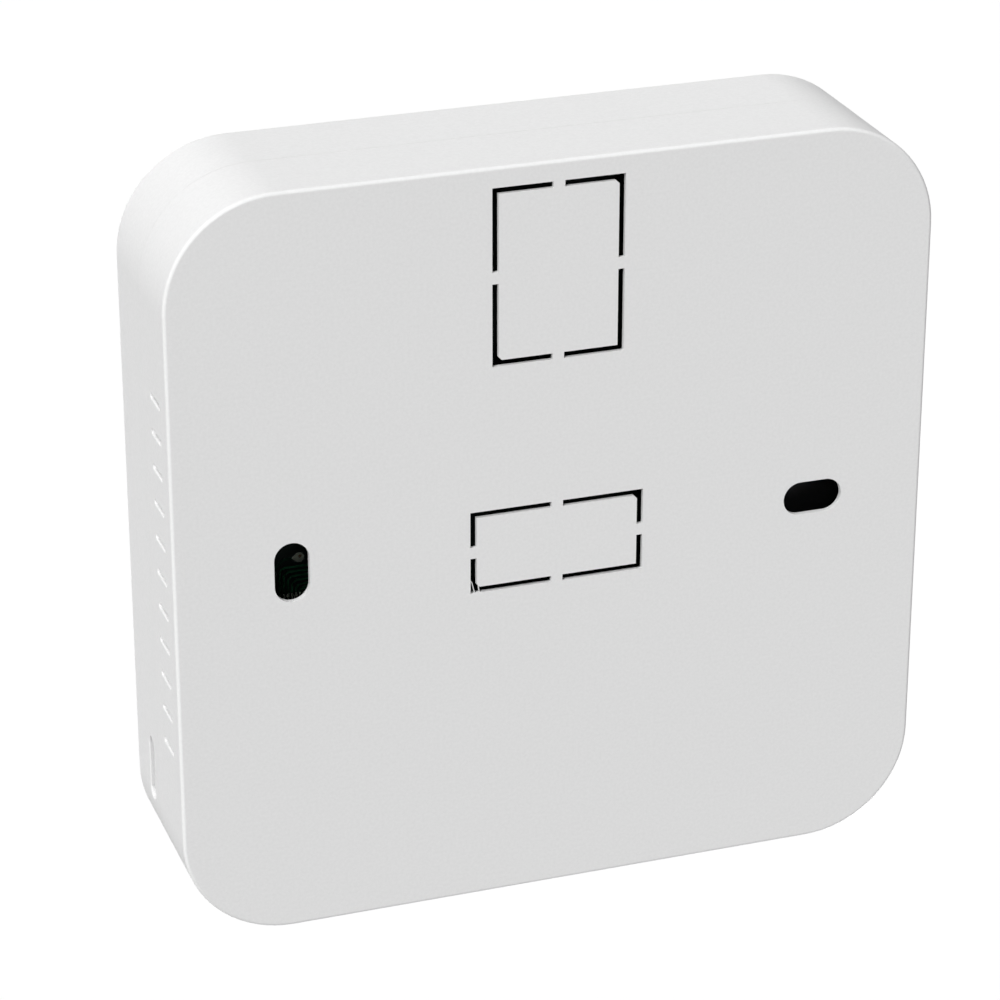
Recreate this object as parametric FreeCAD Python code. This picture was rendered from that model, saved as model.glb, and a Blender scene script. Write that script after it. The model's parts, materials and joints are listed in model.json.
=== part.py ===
import FreeCAD, Part
import math
import os

# Wall-mounted boiler thermostat in two moulded half shells.
# X points right and Z up as seen from the room, and the front faces -Y.
# The origin is the middle of the rear face, which lies on the wall at y = 0.
# All sizes are in millimetres.

# Shell, outside
body_width = 86.0
body_height = 86.0
body_depth = 20.0
corner_radius = 12.25
seam_depth = 10.0
seam_gap = 0.03
rear_edge_round = 0.4
front_edge_round = 0.5

# Shell, walls
side_wall = 1.6
rear_wall = 1.8
front_wall = 1.8
tongue_thickness = 0.7
tongue_height = 1.5
tongue_clearance = 0.1

# Wall-screw slots, one upright and one level, for a box with 60 mm screw centres
screw_spacing = 60.0
screw_height = 0.15
slot_width = 3.9
slot_length = 6.9
slot_recess_margin = 1.8
slot_web = 0.65

# Knock-outs: slits that leave a plug hanging on four bridges
slit_width = 0.7
bridge_width = 1.3
knockout_web = 0.5
plug_chamfer = 0.35
knockout_margin = 0.6
upper_knockout = {"centre": (0.1, 30.7), "size": (14.8, 20.0)}
lower_knockout = {"centre": (0.1, -0.7), "size": (19.85, 9.6)}

# Side vents
vent_count = 11
vent_pitch = 4.06
vent_middle_height = -0.58
vent_length = 4.0
vent_opening = 0.6
vent_from_wall = 2.85
rim_round = 0.15

# Ribs, gussets and board rests inside the shells
rib_wall = 0.8
rear_rib_height = 1.2
rear_rib_length = 72.0
upper_rib_height = 12.4
lower_rib_rise = 12.0
upright_rib_offset = 14.4
gusset_thickness = 1.0
gusset_leg = 2.4
gusset_places = (-30.0, -14.4, 14.4, 30.0)
rest_thickness = 1.2
rest_overlap = 0.8
rest_toe = 1.6
rest_root = 1.6
rest_clearance = 0.3
top_rest_offset = 26.0
front_rib_height = 1.5
front_rib_offsets = (-30.0, -10.0, 10.0, 30.0)
boss_rib_height = 2.6
nest_gap = 0.3
nest_height = 2.0
collar_gap = 0.25
collar_height = 1.4

# Snap arms and the windows and pockets that they catch in
snap_window_length = 7.7
snap_window_width = 2.1
snap_window_from_seam = 2.2
side_snap_rise = 15.15
top_snap_offset = 20.0
snap_arm_width = 5.2
snap_arm_thickness = 1.2
snap_arm_clearance = 0.1
side_hook = {"reach": 1.1, "flat": 0.9}
top_hook = {"reach": 0.5, "flat": 0.3}
snap_foot = 1.2
snap_play = 0.08
pocket_depth = 0.6
pocket_margin = 0.5

# Rounding of small moulded pieces
sharp_radius = 0.1
glass_radius = 0.2
fine_radius = 0.3
moulded_radius = 0.4
block_radius = 0.5
case_radius = 0.8

# Circuit board
board_edge_gap = 3.4
board_thickness = 1.6
board_corner_radius = 8.0
component_room = 10.4
board_screw_inset = 5.0
board_screw_radius = 1.1
board_screw_head_radius = 2.0
board_screw_head_height = 1.3
board_screw_clearance = 0.2
board_screw_length = 5.0
board_screw_head_round = 0.5
boss_radius = 2.75
pilot_clearance = 0.05
pin_hole_clearance = 0.12
pin_stub = 0.6

# Display
display_height = 10.0
window_size = (54.0, 34.0)
window_corner_radius = 2.0
window_recess_depth = 1.0
window_clearance = 0.1
view_size = (50.0, 30.0)
view_corner_radius = 1.2
lcd_size = (50.6, 31.4)
lcd_sheet_thickness = 1.0
lcd_contact_ledge = 2.8
frame_wall = 3.0
frame_lip = 0.4
frame_lip_overlap = 1.8
frame_gap = 0.3
frame_radius = 1.5
frame_opening_radius = 0.6
fit_gap = 0.05
seat_gap = 0.1
strip_thickness = 1.8
strip_end_gap = 2.0
light_guide_inset = 2.2
led_size = (1.0, 2.8)
led_count = 2
peg_radius = 0.6
peg_inset = (12.8, 1.5)
peg_head_radius = 0.9
peg_head_height = 0.4

# Push keys and the switches behind them
key_rise = 17.0
key_pitch = 20.0
key_names = ("minus", "set", "plus")
key_size = (13.0, 7.0)
key_clearance = 0.15
key_recess = 0.1
key_edge_round = 0.35
key_flange_margin = 0.9
key_flange_thickness = 0.8
key_stem_radius = 1.5
switch_width = 6.0
switch_base_height = 2.2
switch_cover_thickness = 0.2
plunger_radius = 1.7
plunger_height = 0.7
plunger_well = 0.9
key_travel = 0.25
running_gap = 0.05
lead_width = 0.7
lead_thickness = 0.2
lead_reach = 1.0

# Terminal block for the mains feed and the boiler contact
terminal_count = 5
terminal_pitch = 5.08
terminal_rise = 21.0
terminal_depth = 8.2
terminal_block_height = 9.8
terminal_end_wall = 0.3
terminal_edge_chamfer = 0.5
chamber_width = 4.3
chamber_top = 7.2
chamber_back_wall = 0.8
chamber_front_wall = 1.2
entry_size = (3.2, 2.2)
entry_floor = 1.2
screw_seat = 7.9
screw_head_radius = 1.8
screw_head_height = 1.3
screw_radius = 1.2
screw_slot = (0.5, 0.6)
cage_side_gap = 0.1
cage_length = 4.6
cage_wall = 0.6
cage_floor = 0.8
cage_top = 1.0
cage_rest = 0.5
wire_room = 2.0
bar_width = 2.4
bar_thickness = 0.8
bar_leg_thickness = 0.6
bar_pin_width = 1.0

# Relay that switches the boiler
relay_place = ("left", 10.6, 21.0)
relay_size = (20.0, 10.0)
relay_top = 9.8
relay_wall = 0.5
relay_base_height = 1.2
coil_axis_height = 4.4
coil_radius = 2.6
coil_length = 8.6
coil_flange = 0.6
coil_flange_size = (7.0, 5.4)
core_radius = 1.0
pole_stand = 0.8
yoke_thickness = 0.8
yoke_width = 6.0
armature_gap = 0.35
armature_thickness = 0.8
blade_thickness = 0.25
blade_width = 3.0
contact_radius = 0.8
contact_height = 0.4
contact_level = 2.6
contact_opening = 0.5
relay_pin_radius = 0.4
coil_pin_offset = 3.0
common_pin_inset = 1.6

# Mains supply
transformer_place = ("right", 7.0, 13.8)
core_size = (11.2, 4.6)
core_height = 8.8
core_window = (2.4, 5.6)
core_leg = 2.8
winding_size = (7.4, 9.4)
winding_radius = 1.2
bobbin_flange = 0.5
bobbin_overhang = 0.6
bobbin_lift = 0.4
bobbin_pin_radius = 0.35
bulk_capacitor = {"place": ("middle", -5.4, 5.0), "radius": 4.0, "length": 12.0, "lead_spacing": 3.5}
output_capacitor = {"place": ("middle", 12.0, 4.4), "radius": 3.15, "length": 11.0, "lead_spacing": 2.5}
filter_capacitor = {"place": ("left", 15.2, 3.6), "size": (13.0, 5.0), "height": 9.0}
varistor = {"place": ("middle", 10.8, 11.8), "radius": 3.75, "thickness": 3.2, "round": 1.3}
fuse_resistor = {"place": ("middle", -10.2, 12.2), "radius": 1.75, "length": 8.5}
fuse_waist_radius = 1.5
fuse_cap = {"length": 1.2, "round": 0.5}
rectifier = {"place": ("left", 4.7, 33.2), "size": (8.5, 6.4), "height": 3.1, "stand": 0.4, "feet": 5.1}
capacitor_neck = 0.35
lead_radius = 0.3
lead_overhang = 1.5
varistor_stand = 0.4
varistor_lead_offset = 2.3

# Controller and sensing
controller_place = ("right", 12.46, 24.6)
controller_body = 7.0
controller_height = 1.4
controller_lift = 0.1
controller_pins = 12
controller_pitch = 0.46
controller_lead = 1.0
controller_knee = 0.4
controller_lead_width = 0.2
controller_lead_thickness = 0.15
crystal = {"place": ("right", 16.5, 36.4), "size": (3.2, 1.5), "height": 0.8}
sensor_place = ("right", 1.6, 29.0)
sensor_radius = 1.1
sensor_stand = 5.6
sensor_lead_radius = 0.25
sensor_lead_spread = 1.2
chip_size = (2.0, 1.25)
chip_height = 0.6
chip_places = (
    ("right", 19.5, 29.0), ("right", 19.5, 26.5), ("right", 19.5, 24.0), ("right", 19.5, 21.5),
    ("right", 6.5, 27.0), ("right", 6.5, 24.5), ("middle", -12.0, 44.5), ("middle", -16.0, 44.5),
    ("middle", -20.0, 44.5), ("middle", 16.0, 42.5), ("middle", 19.5, 42.5), ("left", 2.0, 50.0),
)

# Places that follow from the sizes above
inner_width = body_width - 2 * side_wall
inner_height = body_height - 2 * side_wall
front_y = -body_depth
front_inside = front_y + front_wall
rear_inside = -rear_wall
seam_y = -seam_depth
board_rear = rear_inside - component_room
board_front = board_rear - board_thickness
board_width = inner_width - 2 * board_edge_gap
board_height = inner_height - 2 * board_edge_gap
side_snap_height = side_snap_rise - body_height / 2
key_height = key_rise - body_height / 2
terminal_height = terminal_rise - board_height / 2
tongue_top = seam_y - tongue_height
snap_window_y = seam_y - snap_window_from_seam - snap_window_width / 2
window_seat = front_y + window_recess_depth
frame_front = front_inside + frame_gap
plunger_tip = board_front - switch_base_height - switch_cover_thickness - plunger_height
over = 1.0


def place(axis, u, v, w):
    """A point with u and v across an axis and w along it."""
    if axis == "X":
        return FreeCAD.Vector(w, u, v)
    if axis == "Y":
        return FreeCAD.Vector(u, w, v)
    return FreeCAD.Vector(u, v, w)


def prism(axis, centre, size, radius, span):
    """A rounded rectangle across the axis, drawn out over the span."""
    half_u = size[0] / 2
    half_v = size[1] / 2
    rim = []
    for quarter in range(4):
        start = quarter * 90
        side_u = 1 if quarter in (0, 3) else -1
        side_v = 1 if quarter in (0, 1) else -1
        middle_u = centre[0] + side_u * (half_u - radius)
        middle_v = centre[1] + side_v * (half_v - radius)
        turn = [math.radians(start + step) for step in (0, 45, 90)]
        rim.append([
            place(axis, middle_u + radius * math.cos(a), middle_v + radius * math.sin(a), span[0])
            for a in turn
        ])
    edges = []
    for index, (first, middle, last) in enumerate(rim):
        if radius > 0:
            edges.append(Part.Arc(first, middle, last).toShape())
        following = rim[(index + 1) % 4][0]
        if last.distanceToPoint(following) > 1e-6:
            edges.append(Part.makeLine(last, following))
    face = Part.Face(Part.Wire(edges))
    return face.extrude(place(axis, 0, 0, span[1] - span[0]))


def block(x_span, y_span, z_span):
    """A plain box between its limits."""
    corner = FreeCAD.Vector(x_span[0], y_span[0], z_span[0])
    return Part.makeBox(x_span[1] - x_span[0], y_span[1] - y_span[0], z_span[1] - z_span[0], corner)


def rod(axis, centre, radius, span):
    """A round bar along the axis over the span."""
    start = place(axis, centre[0], centre[1], span[0])
    return Part.makeCylinder(radius, span[1] - span[0], start, place(axis, 0, 0, 1))


def profile(axis, points, span):
    """A straight-sided outline drawn out along the axis."""
    corners = [place(axis, u, v, span[0]) for u, v in points]
    face = Part.Face(Part.makePolygon(corners + corners[:1]))
    return face.extrude(place(axis, 0, 0, span[1] - span[0]))


def joined(shapes):
    """One solid made of shapes that touch or overlap."""
    return shapes[0].multiFuse(shapes[1:]).removeSplitter()


def circles(shape, radius):
    """The edges that are arcs or whole circles of this radius."""
    round_edges = [e for e in shape.Edges if isinstance(e.Curve, Part.Circle)]
    return [e for e in round_edges if abs(e.Curve.Radius - radius) < 1e-6]


def rim_edges(shape, y):
    """The edges that lie in the plane across Y at this place."""
    return [e for e in shape.Edges if abs(e.BoundBox.YMin - y) < 1e-6 and abs(e.BoundBox.YMax - y) < 1e-6]


def from_board(low, high):
    """A span along Y between two heights above the rear face of the board."""
    return (board_rear + low, board_rear + high)


def seat(spot):
    """A place on the board: in from a side edge or from its middle, and up from its lower edge."""
    edge, inset, rise = spot
    half = board_width / 2
    x = {"left": inset - half, "middle": inset, "right": half - inset}[edge]
    return (x, rise - board_height / 2)


def outer_plate(inset, span):
    """The body's outline, drawn in by the inset, over a span of depth."""
    size = (body_width - 2 * inset, body_height - 2 * inset)
    return prism("Y", (0, 0), size, corner_radius - inset, span)


def wall_slot(centre, upright, margin, span):
    """One screw slot, or its recess when a margin is added all round."""
    length = slot_length + 2 * margin
    width = slot_width + 2 * margin
    size = (width, length) if upright else (length, width)
    return prism("Y", centre, size, width / 2, span)


def knockout_slit(knockout):
    """The slit round a plug, broken by a bridge in the middle of each side."""
    centre_x, centre_z = knockout["centre"]
    width, height = knockout["size"]
    through = (-knockout_web - over, over)
    outer = block(
        (centre_x - width / 2, centre_x + width / 2), through,
        (centre_z - height / 2, centre_z + height / 2),
    )
    plug_x = width / 2 - slit_width
    plug_z = height / 2 - slit_width
    plug = profile("Y", [
        (centre_x - plug_x + plug_chamfer, centre_z + plug_z),
        (centre_x - plug_x, centre_z + plug_z - plug_chamfer),
        (centre_x - plug_x, centre_z - plug_z),
        (centre_x + plug_x - plug_chamfer, centre_z - plug_z),
        (centre_x + plug_x, centre_z - plug_z + plug_chamfer),
        (centre_x + plug_x, centre_z + plug_z),
    ], through)
    level_bridge = block(
        (centre_x - width, centre_x + width), through,
        (centre_z - bridge_width / 2, centre_z + bridge_width / 2),
    )
    upright_bridge = block(
        (centre_x - bridge_width / 2, centre_x + bridge_width / 2), through,
        (centre_z - height, centre_z + height),
    )
    return outer.cut(plug).cut(level_bridge).cut(upright_bridge)


def knockout_recess(knockout):
    """The pocket inside that thins the wall over a knock-out."""
    width, height = knockout["size"]
    size = (width + 2 * knockout_margin, height + 2 * knockout_margin)
    return prism("Y", knockout["centre"], size, knockout_margin, (rear_inside - over, -knockout_web))


def vents(side):
    """The row of slots through one side wall."""
    middle_y = -(vent_from_wall + vent_length / 2)
    wall = sorted((side * (body_width / 2 - side_wall - over), side * (body_width / 2 + over)))
    first = vent_middle_height - vent_pitch * (vent_count - 1) / 2
    return [
        prism("X", (middle_y, first + vent_pitch * step), (vent_length, vent_opening),
              vent_opening / 2, wall)
        for step in range(vent_count)
    ]


def soften_rims(shell, y_span):
    """Rounds the outer rims of the openings that the side walls have at these depths."""
    rims = []
    for edge in shell.Edges:
        box = edge.BoundBox
        on_wall = box.XLength < sharp_radius and abs(box.Center.x) > body_width / 2 - fit_gap
        if on_wall and box.YMin > y_span[0] - fit_gap and box.YMax < y_span[1] + fit_gap:
            rims.append(edge)
    return shell.makeFillet(rim_round, rims)


def gusset(x, side):
    """A small triangle that stiffens the top or bottom wall against the rear wall."""
    wall_z = side * inner_height / 2
    shape = profile("X", [
        (rear_inside, wall_z),
        (rear_inside - gusset_leg, wall_z),
        (rear_inside, wall_z - side * gusset_leg),
    ], (x - gusset_thickness / 2, x + gusset_thickness / 2))
    return shape


def rear_ribs():
    """Low ribs inside the rear wall: a lattice, and a rim round both screw slots."""
    span = (rear_inside - rear_rib_height, rear_inside + fit_gap)
    half = rear_rib_length / 2
    ribs = []
    for z in (upper_rib_height, lower_rib_rise - board_height / 2):
        ribs.append(block((-half, half), span, (z - rib_wall / 2, z + rib_wall / 2)))
    for side in (-1, 1):
        x = side * upright_rib_offset
        ribs.append(block((x - rib_wall / 2, x + rib_wall / 2), span, (-half, half)))
    for centre, upright in wall_slot_places():
        ribs.append(wall_slot(centre, upright, slot_recess_margin + rib_wall, span))
    return ribs


def board_rest(wall, edge):
    """A fin on the side wall that reaches over the edge of the board."""
    reach = board_rear + seat_gap
    return profile("Z", [
        (wall + rest_clearance, rear_inside + rest_clearance),
        (wall + rest_clearance, tongue_top + rest_clearance),
        (wall - rest_clearance, tongue_top),
        (wall - rest_clearance, reach),
        (edge - rest_overlap, reach),
        (edge - rest_overlap, reach + rest_toe),
        (wall - rest_root, rear_inside + rest_clearance),
    ], (-rest_thickness / 2, rest_thickness / 2))


def board_rests():
    """Two fins on each side wall and two on the top wall."""
    between_vents = vent_middle_height + vent_pitch / 2
    rests = []
    for turn, sign in ((0, 1), (180, -1)):
        for height in (between_vents, -side_snap_height):
            rest = board_rest(inner_width / 2, board_width / 2)
            rest.translate(FreeCAD.Vector(0, 0, sign * height))
            rest.rotate(FreeCAD.Vector(0, 0, 0), FreeCAD.Vector(0, 1, 0), turn)
            rests.append(rest)
    for along in (-top_rest_offset, top_rest_offset):
        rest = board_rest(inner_height / 2, board_height / 2)
        rest.translate(FreeCAD.Vector(0, 0, along))
        rest.rotate(FreeCAD.Vector(0, 0, 0), FreeCAD.Vector(0, 1, 0), -90)
        rests.append(rest)
    return rests


def wall_slot_places():
    """The middle of each wall-screw slot, and whether it stands upright."""
    return (((screw_spacing / 2, screw_height), True), ((-screw_spacing / 2, screw_height), False))


def rear_shell():
    """Rear half: thinned wall with slots and knock-outs, ribs, vents and a tongue at the seam."""
    shell = outer_plate(0, (seam_y, 0))
    shell = shell.makeFillet(rear_edge_round, rim_edges(shell, 0))
    tongue = outer_plate(side_wall - tongue_thickness, (tongue_top, seam_y))
    hollow = outer_plate(side_wall, (tongue_top - over, rear_inside))
    shell = joined([shell, tongue]).cut(hollow)
    gussets = [gusset(x, side) for x in gusset_places for side in (-1, 1)]
    shell = joined([shell] + gussets + rear_ribs() + board_rests())
    cuts = []
    deep = rear_inside - rear_rib_height - over
    for centre, upright in wall_slot_places():
        cuts.append(wall_slot(centre, upright, 0, (deep, over)))
        cuts.append(wall_slot(centre, upright, slot_recess_margin, (deep, -slot_web)))
    for knockout in (upper_knockout, lower_knockout):
        cuts.append(knockout_recess(knockout))
        cuts.append(knockout_slit(knockout))
    for side in (-1, 1):
        cuts.extend(vents(side))
    return soften_rims(shell.cut(cuts), (-vent_from_wall - vent_length, -vent_from_wall))


def snap_arm(hook):
    """One springy arm with its outer face on x = 0 and its foot on the rear wall."""
    catch = snap_window_y + snap_window_width / 2 - snap_play
    tip = snap_window_y - snap_window_width / 2 + 2 * snap_play
    reach = snap_arm_clearance + hook["reach"]
    return profile("Z", [
        (0, rear_inside),
        (0, catch),
        (reach, catch),
        (reach, catch - hook["flat"]),
        (0, tip),
        (-snap_arm_thickness, tip),
        (-snap_arm_thickness, rear_inside - snap_foot),
        (-snap_arm_thickness - snap_foot, rear_inside),
    ], (-snap_arm_width / 2, snap_arm_width / 2))


def snap_arms():
    """Two arms that catch in the side windows and two in the pockets of the top wall."""
    arms = []
    for turn, along in ((0, side_snap_height), (180, -side_snap_height)):
        arm = snap_arm(side_hook)
        arm.translate(FreeCAD.Vector(inner_width / 2 - snap_arm_clearance, 0, along))
        arm.rotate(FreeCAD.Vector(0, 0, 0), FreeCAD.Vector(0, 1, 0), turn)
        arms.append(arm)
    for offset in (-top_snap_offset, top_snap_offset):
        arm = snap_arm(top_hook)
        arm.translate(FreeCAD.Vector(inner_height / 2 - snap_arm_clearance, 0, offset))
        arm.rotate(FreeCAD.Vector(0, 0, 0), FreeCAD.Vector(0, 1, 0), -90)
        arms.append(arm)
    return Part.makeCompound(arms)


def board_screw_places():
    """The four board screws, one near each corner of the board."""
    x = board_width / 2 - board_screw_inset
    z = board_height / 2 - board_screw_inset
    return [(sx * x, sz * z) for sx in (-1, 1) for sz in (-1, 1)]


def key_places():
    """The middle of each key, left to right."""
    return [((index - 1) * key_pitch, key_height) for index in range(len(key_names))]


def key_outline(margin, span):
    """A key's rounded outline with a margin all round."""
    size = (key_size[0] + 2 * margin, key_size[1] + 2 * margin)
    return prism("Y", key_places()[1], size, size[1] / 2, span)


def collar(x):
    """The wall round the flange of one key."""
    span = (front_inside - fit_gap, front_inside + collar_height)
    wall = key_outline(key_flange_margin + collar_gap + rib_wall, span)
    wall = wall.cut(key_outline(key_flange_margin + collar_gap, (span[0] - over, span[1] + over)))
    wall.translate(FreeCAD.Vector(x, 0, 0))
    return wall


def display_nest():
    """The wall round the display frame."""
    span = (front_inside - fit_gap, front_inside + nest_height)
    inside = [size + 2 * (frame_wall + nest_gap) for size in lcd_size]
    outside = [size + 2 * rib_wall for size in inside]
    nest = prism("Y", (0, display_height), outside, frame_radius + rib_wall, span)
    hollow = prism("Y", (0, display_height), inside, frame_radius, (span[0] - over, span[1] + over))
    return nest.cut(hollow)


def front_ribs():
    """Ribs inside the front wall, and two that tie each screw boss to the side walls."""
    nest_bottom = display_height - lcd_size[1] / 2 - frame_wall - nest_gap - rib_wall / 2
    collar_top = key_height + key_size[1] / 2 + key_flange_margin + collar_gap + rib_wall
    level = (nest_bottom + collar_top) / 2
    span = (front_inside - fit_gap, front_inside + front_rib_height)
    wall_x = inner_width / 2 + fit_gap
    wall_z = inner_height / 2 + fit_gap
    ribs = [block((-wall_x, wall_x), span, (level - rib_wall / 2, level + rib_wall / 2))]
    for x in front_rib_offsets:
        top = nest_bottom if abs(x) < lcd_size[0] / 2 else level
        ribs.append(block((x - rib_wall / 2, x + rib_wall / 2), span, (-wall_z, top)))
    span = (front_inside - fit_gap, front_inside + boss_rib_height)
    for x, z in board_screw_places():
        start_x = math.copysign(abs(x) + boss_radius / 2, x)
        start_z = math.copysign(abs(z) + boss_radius / 2, z)
        ribs.append(block(
            sorted((start_x, math.copysign(wall_x, x))), span, (z - rib_wall / 2, z + rib_wall / 2),
        ))
        ribs.append(block(
            (x - rib_wall / 2, x + rib_wall / 2), span, sorted((start_z, math.copysign(wall_z, z))),
        ))
    return ribs


def front_shell():
    """Front half: display window, key openings, screw bosses, ribs, snap windows and a rebate."""
    rim = seam_y - seam_gap
    shell = outer_plate(0, (front_y, rim))
    shell = shell.makeFillet(front_edge_round, rim_edges(shell, front_y))
    hollow = outer_plate(side_wall, (front_inside, rim + over))
    rebate_inset = side_wall - tongue_thickness - tongue_clearance
    rebate = outer_plate(rebate_inset, (tongue_top - tongue_clearance, rim + over))
    shell = shell.cut([hollow, rebate])
    bosses = [rod("Y", spot, boss_radius, (front_inside, board_front)) for spot in board_screw_places()]
    collars = [collar(x) for x, z in key_places()]
    shell = joined([shell] + bosses + [display_nest()] + front_ribs() + collars)
    middle = (0, display_height)
    cuts = [
        prism("Y", middle, window_size, window_corner_radius, (front_y - over, window_seat)),
        prism("Y", middle, view_size, view_corner_radius, (front_y - over, front_inside + over)),
    ]
    pilot = board_screw_radius + pilot_clearance
    pilot_end = board_rear - board_screw_length - board_screw_clearance
    cuts.extend(rod("Y", spot, pilot, (pilot_end, board_front + over)) for spot in board_screw_places())
    for x, z in key_places():
        opening = key_outline(0, (front_y - over, front_inside + over))
        opening.translate(FreeCAD.Vector(x, 0, 0))
        cuts.append(opening)
    window = (snap_window_width, snap_window_length)
    wall = body_width / 2
    for side, along in ((1, side_snap_height), (-1, side_snap_height)):
        span = sorted((side * (wall - side_wall - over), side * (wall + over)))
        cuts.append(prism("X", (snap_window_y, along), window, window[0] / 2, span))
    top = inner_height / 2
    for offset in (-top_snap_offset, top_snap_offset):
        cuts.append(prism(
            "Z", (offset, snap_window_y), (snap_arm_width + 2 * pocket_margin, snap_window_width),
            fine_radius, (top - over, top + pocket_depth),
        ))
    half = snap_window_width / 2
    return soften_rims(shell.cut(cuts), (snap_window_y - half, snap_window_y + half))


def display_window():
    """Clear window, flush in the recess of the front shell."""
    size = (window_size[0] - 2 * window_clearance, window_size[1] - 2 * window_clearance)
    radius = window_corner_radius - window_clearance
    return prism("Y", (0, display_height), size, radius, (front_y, window_seat))


def peg_places():
    """The four pegs that hold the display frame on the board."""
    x = lcd_size[0] / 2 + frame_wall - peg_inset[0]
    z = lcd_size[1] / 2 + frame_wall - peg_inset[1]
    return [(sx * x, display_height + sz * z) for sx in (-1, 1) for sz in (-1, 1)]


def lcd_frame():
    """Frame that clips the display on the board, with heat-staked pegs."""
    middle = (0, display_height)
    outside = (lcd_size[0] + 2 * frame_wall, lcd_size[1] + 2 * frame_wall)
    inside = (lcd_size[0] + 2 * seat_gap, lcd_size[1] + 2 * seat_gap)
    opening = (lcd_size[0] - 2 * frame_lip_overlap, lcd_size[1] - 2 * frame_lip_overlap)
    frame = prism("Y", middle, outside, frame_radius, (frame_front, board_front))
    frame = frame.cut([
        prism("Y", middle, inside, fine_radius, (frame_front + frame_lip, board_front + over)),
        prism("Y", middle, opening, frame_opening_radius, (frame_front - over, board_front)),
    ])
    stakes = []
    for spot in peg_places():
        stakes.append(rod("Y", spot, peg_radius, (board_front - fit_gap, board_rear)))
        stakes.append(rod("Y", spot, peg_head_radius, (board_rear, board_rear + peg_head_height)))
    return joined([frame] + stakes)


def lcd_cell():
    """Two bonded glass sheets; the front one is longer and carries the contact ledge."""
    front = frame_front + frame_lip + fit_gap
    middle = front + lcd_sheet_thickness
    back_height = lcd_size[1] - lcd_contact_ledge
    back_centre = (0, display_height + lcd_contact_ledge / 2)
    return joined([
        prism("Y", (0, display_height), lcd_size, glass_radius, (front, middle)),
        prism("Y", back_centre, (lcd_size[0], back_height), glass_radius, (middle, lcd_back())),
    ])


def lcd_back():
    """The plane of the glass that faces the board."""
    return frame_front + frame_lip + fit_gap + 2 * lcd_sheet_thickness


def light_guide():
    """Clear slab that spreads the light behind the display."""
    width = lcd_size[0] - 2 * (led_size[0] + light_guide_inset)
    height = lcd_size[1] - lcd_contact_ledge - 2 * seat_gap
    centre = (0, display_height + lcd_contact_ledge / 2)
    span = (lcd_back() + fit_gap, board_front - fit_gap)
    return prism("Y", centre, (width, height), moulded_radius, span)


def backlight_leds():
    """Side-firing lamps at both ends of the light guide."""
    x = lcd_size[0] / 2 - light_guide_inset - led_size[0] / 2
    height = lcd_size[1] - lcd_contact_ledge
    lamps = []
    for side in (-1, 1):
        for step in range(led_count):
            z = display_height + lcd_contact_ledge / 2 + (step - (led_count - 1) / 2) * height / led_count
            spot = (side * (x + fit_gap), z)
            span = (lcd_back() + 2 * seat_gap, board_front)
            lamps.append(prism("Y", spot, led_size, sharp_radius, span))
    return Part.makeCompound(lamps)


def contact_strip():
    """Elastomer strip that joins the glass ledge to the pads on the board."""
    bottom = display_height - lcd_size[1] / 2
    centre = (0, bottom + lcd_contact_ledge / 2 - seat_gap)
    size = (lcd_size[0] - 2 * strip_end_gap, strip_thickness)
    front = frame_front + frame_lip + fit_gap + lcd_sheet_thickness
    return prism("Y", centre, size, fine_radius, (front, board_front))


def terminal_places():
    """The middle of each screw terminal, left to right."""
    first = -(terminal_count - 1) / 2
    return [((first + index) * terminal_pitch, terminal_height) for index in range(terminal_count)]


def bar_leg_place():
    """Where a contact bar turns down to the board, along Z."""
    back = terminal_height - terminal_depth / 2 + chamber_back_wall
    return (back + seat_gap, back + seat_gap + bar_leg_thickness)


def terminal_block():
    """Insulating housing with a screw well, a cage chamber and a wire entry for each terminal."""
    width = terminal_count * terminal_pitch + 2 * terminal_end_wall
    low = terminal_height - terminal_depth / 2
    high = terminal_height + terminal_depth / 2
    housing = block((-width / 2, width / 2), from_board(0, terminal_block_height), (low, high))
    top = board_rear + terminal_block_height
    housing = housing.makeChamfer(terminal_edge_chamfer, rim_edges(housing, top))
    cuts = []
    for x, z in terminal_places():
        half = chamber_width / 2
        inside = (low + chamber_back_wall, high - chamber_front_wall)
        cuts.append(block((x - half, x + half), from_board(-over, chamber_top), inside))
        floor = board_rear + entry_floor
        centre = (x, floor + entry_size[1] / 2)
        cuts.append(prism("Z", centre, entry_size, block_radius, (terminal_height, high + over)))
        shank = screw_radius + 3 * fit_gap
        cuts.append(rod("Y", (x, z), shank, from_board(chamber_top - over, screw_seat + over)))
        well = screw_head_radius + 2 * seat_gap
        cuts.append(rod("Y", (x, z), well, from_board(screw_seat, terminal_block_height + over)))
    return housing.cut(cuts)


def bar_level():
    """Height of the contact bars' underside above the board."""
    return cage_rest + cage_floor + wire_room


def terminal_contact(x):
    """One bar with its leg and the pin that is soldered through the board."""
    leg = bar_leg_place()
    end = terminal_height + cage_length / 2 + seat_gap
    level = bar_level()
    half = bar_width / 2
    pin_half = bar_pin_width / 2
    return joined([
        block((x - half, x + half), from_board(level, level + bar_thickness), (leg[0], end)),
        block((x - half, x + half), from_board(0, level + bar_thickness), leg),
        block((x - pin_half, x + pin_half), (board_front - pin_stub, board_rear + over), leg),
    ])


def terminal_contacts():
    """The fixed contact of every terminal."""
    return Part.makeCompound([terminal_contact(x) for x, z in terminal_places()])


def terminal_screw(spot):
    """Slotted clamp screw, held in the housing, that turns in place."""
    tip = bar_level() + bar_thickness + seat_gap
    seat = screw_seat + seat_gap
    screw = joined([
        rod("Y", spot, screw_radius, from_board(tip, seat + screw_head_height)),
        rod("Y", spot, screw_head_radius, from_board(seat, seat + screw_head_height)),
    ])
    top = seat + screw_head_height
    slot = block(
        (spot[0] - screw_head_radius - over, spot[0] + screw_head_radius + over),
        from_board(top - screw_slot[1], top + over),
        (spot[1] - screw_slot[0] / 2, spot[1] + screw_slot[0] / 2),
    )
    return screw.cut(slot)


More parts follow.
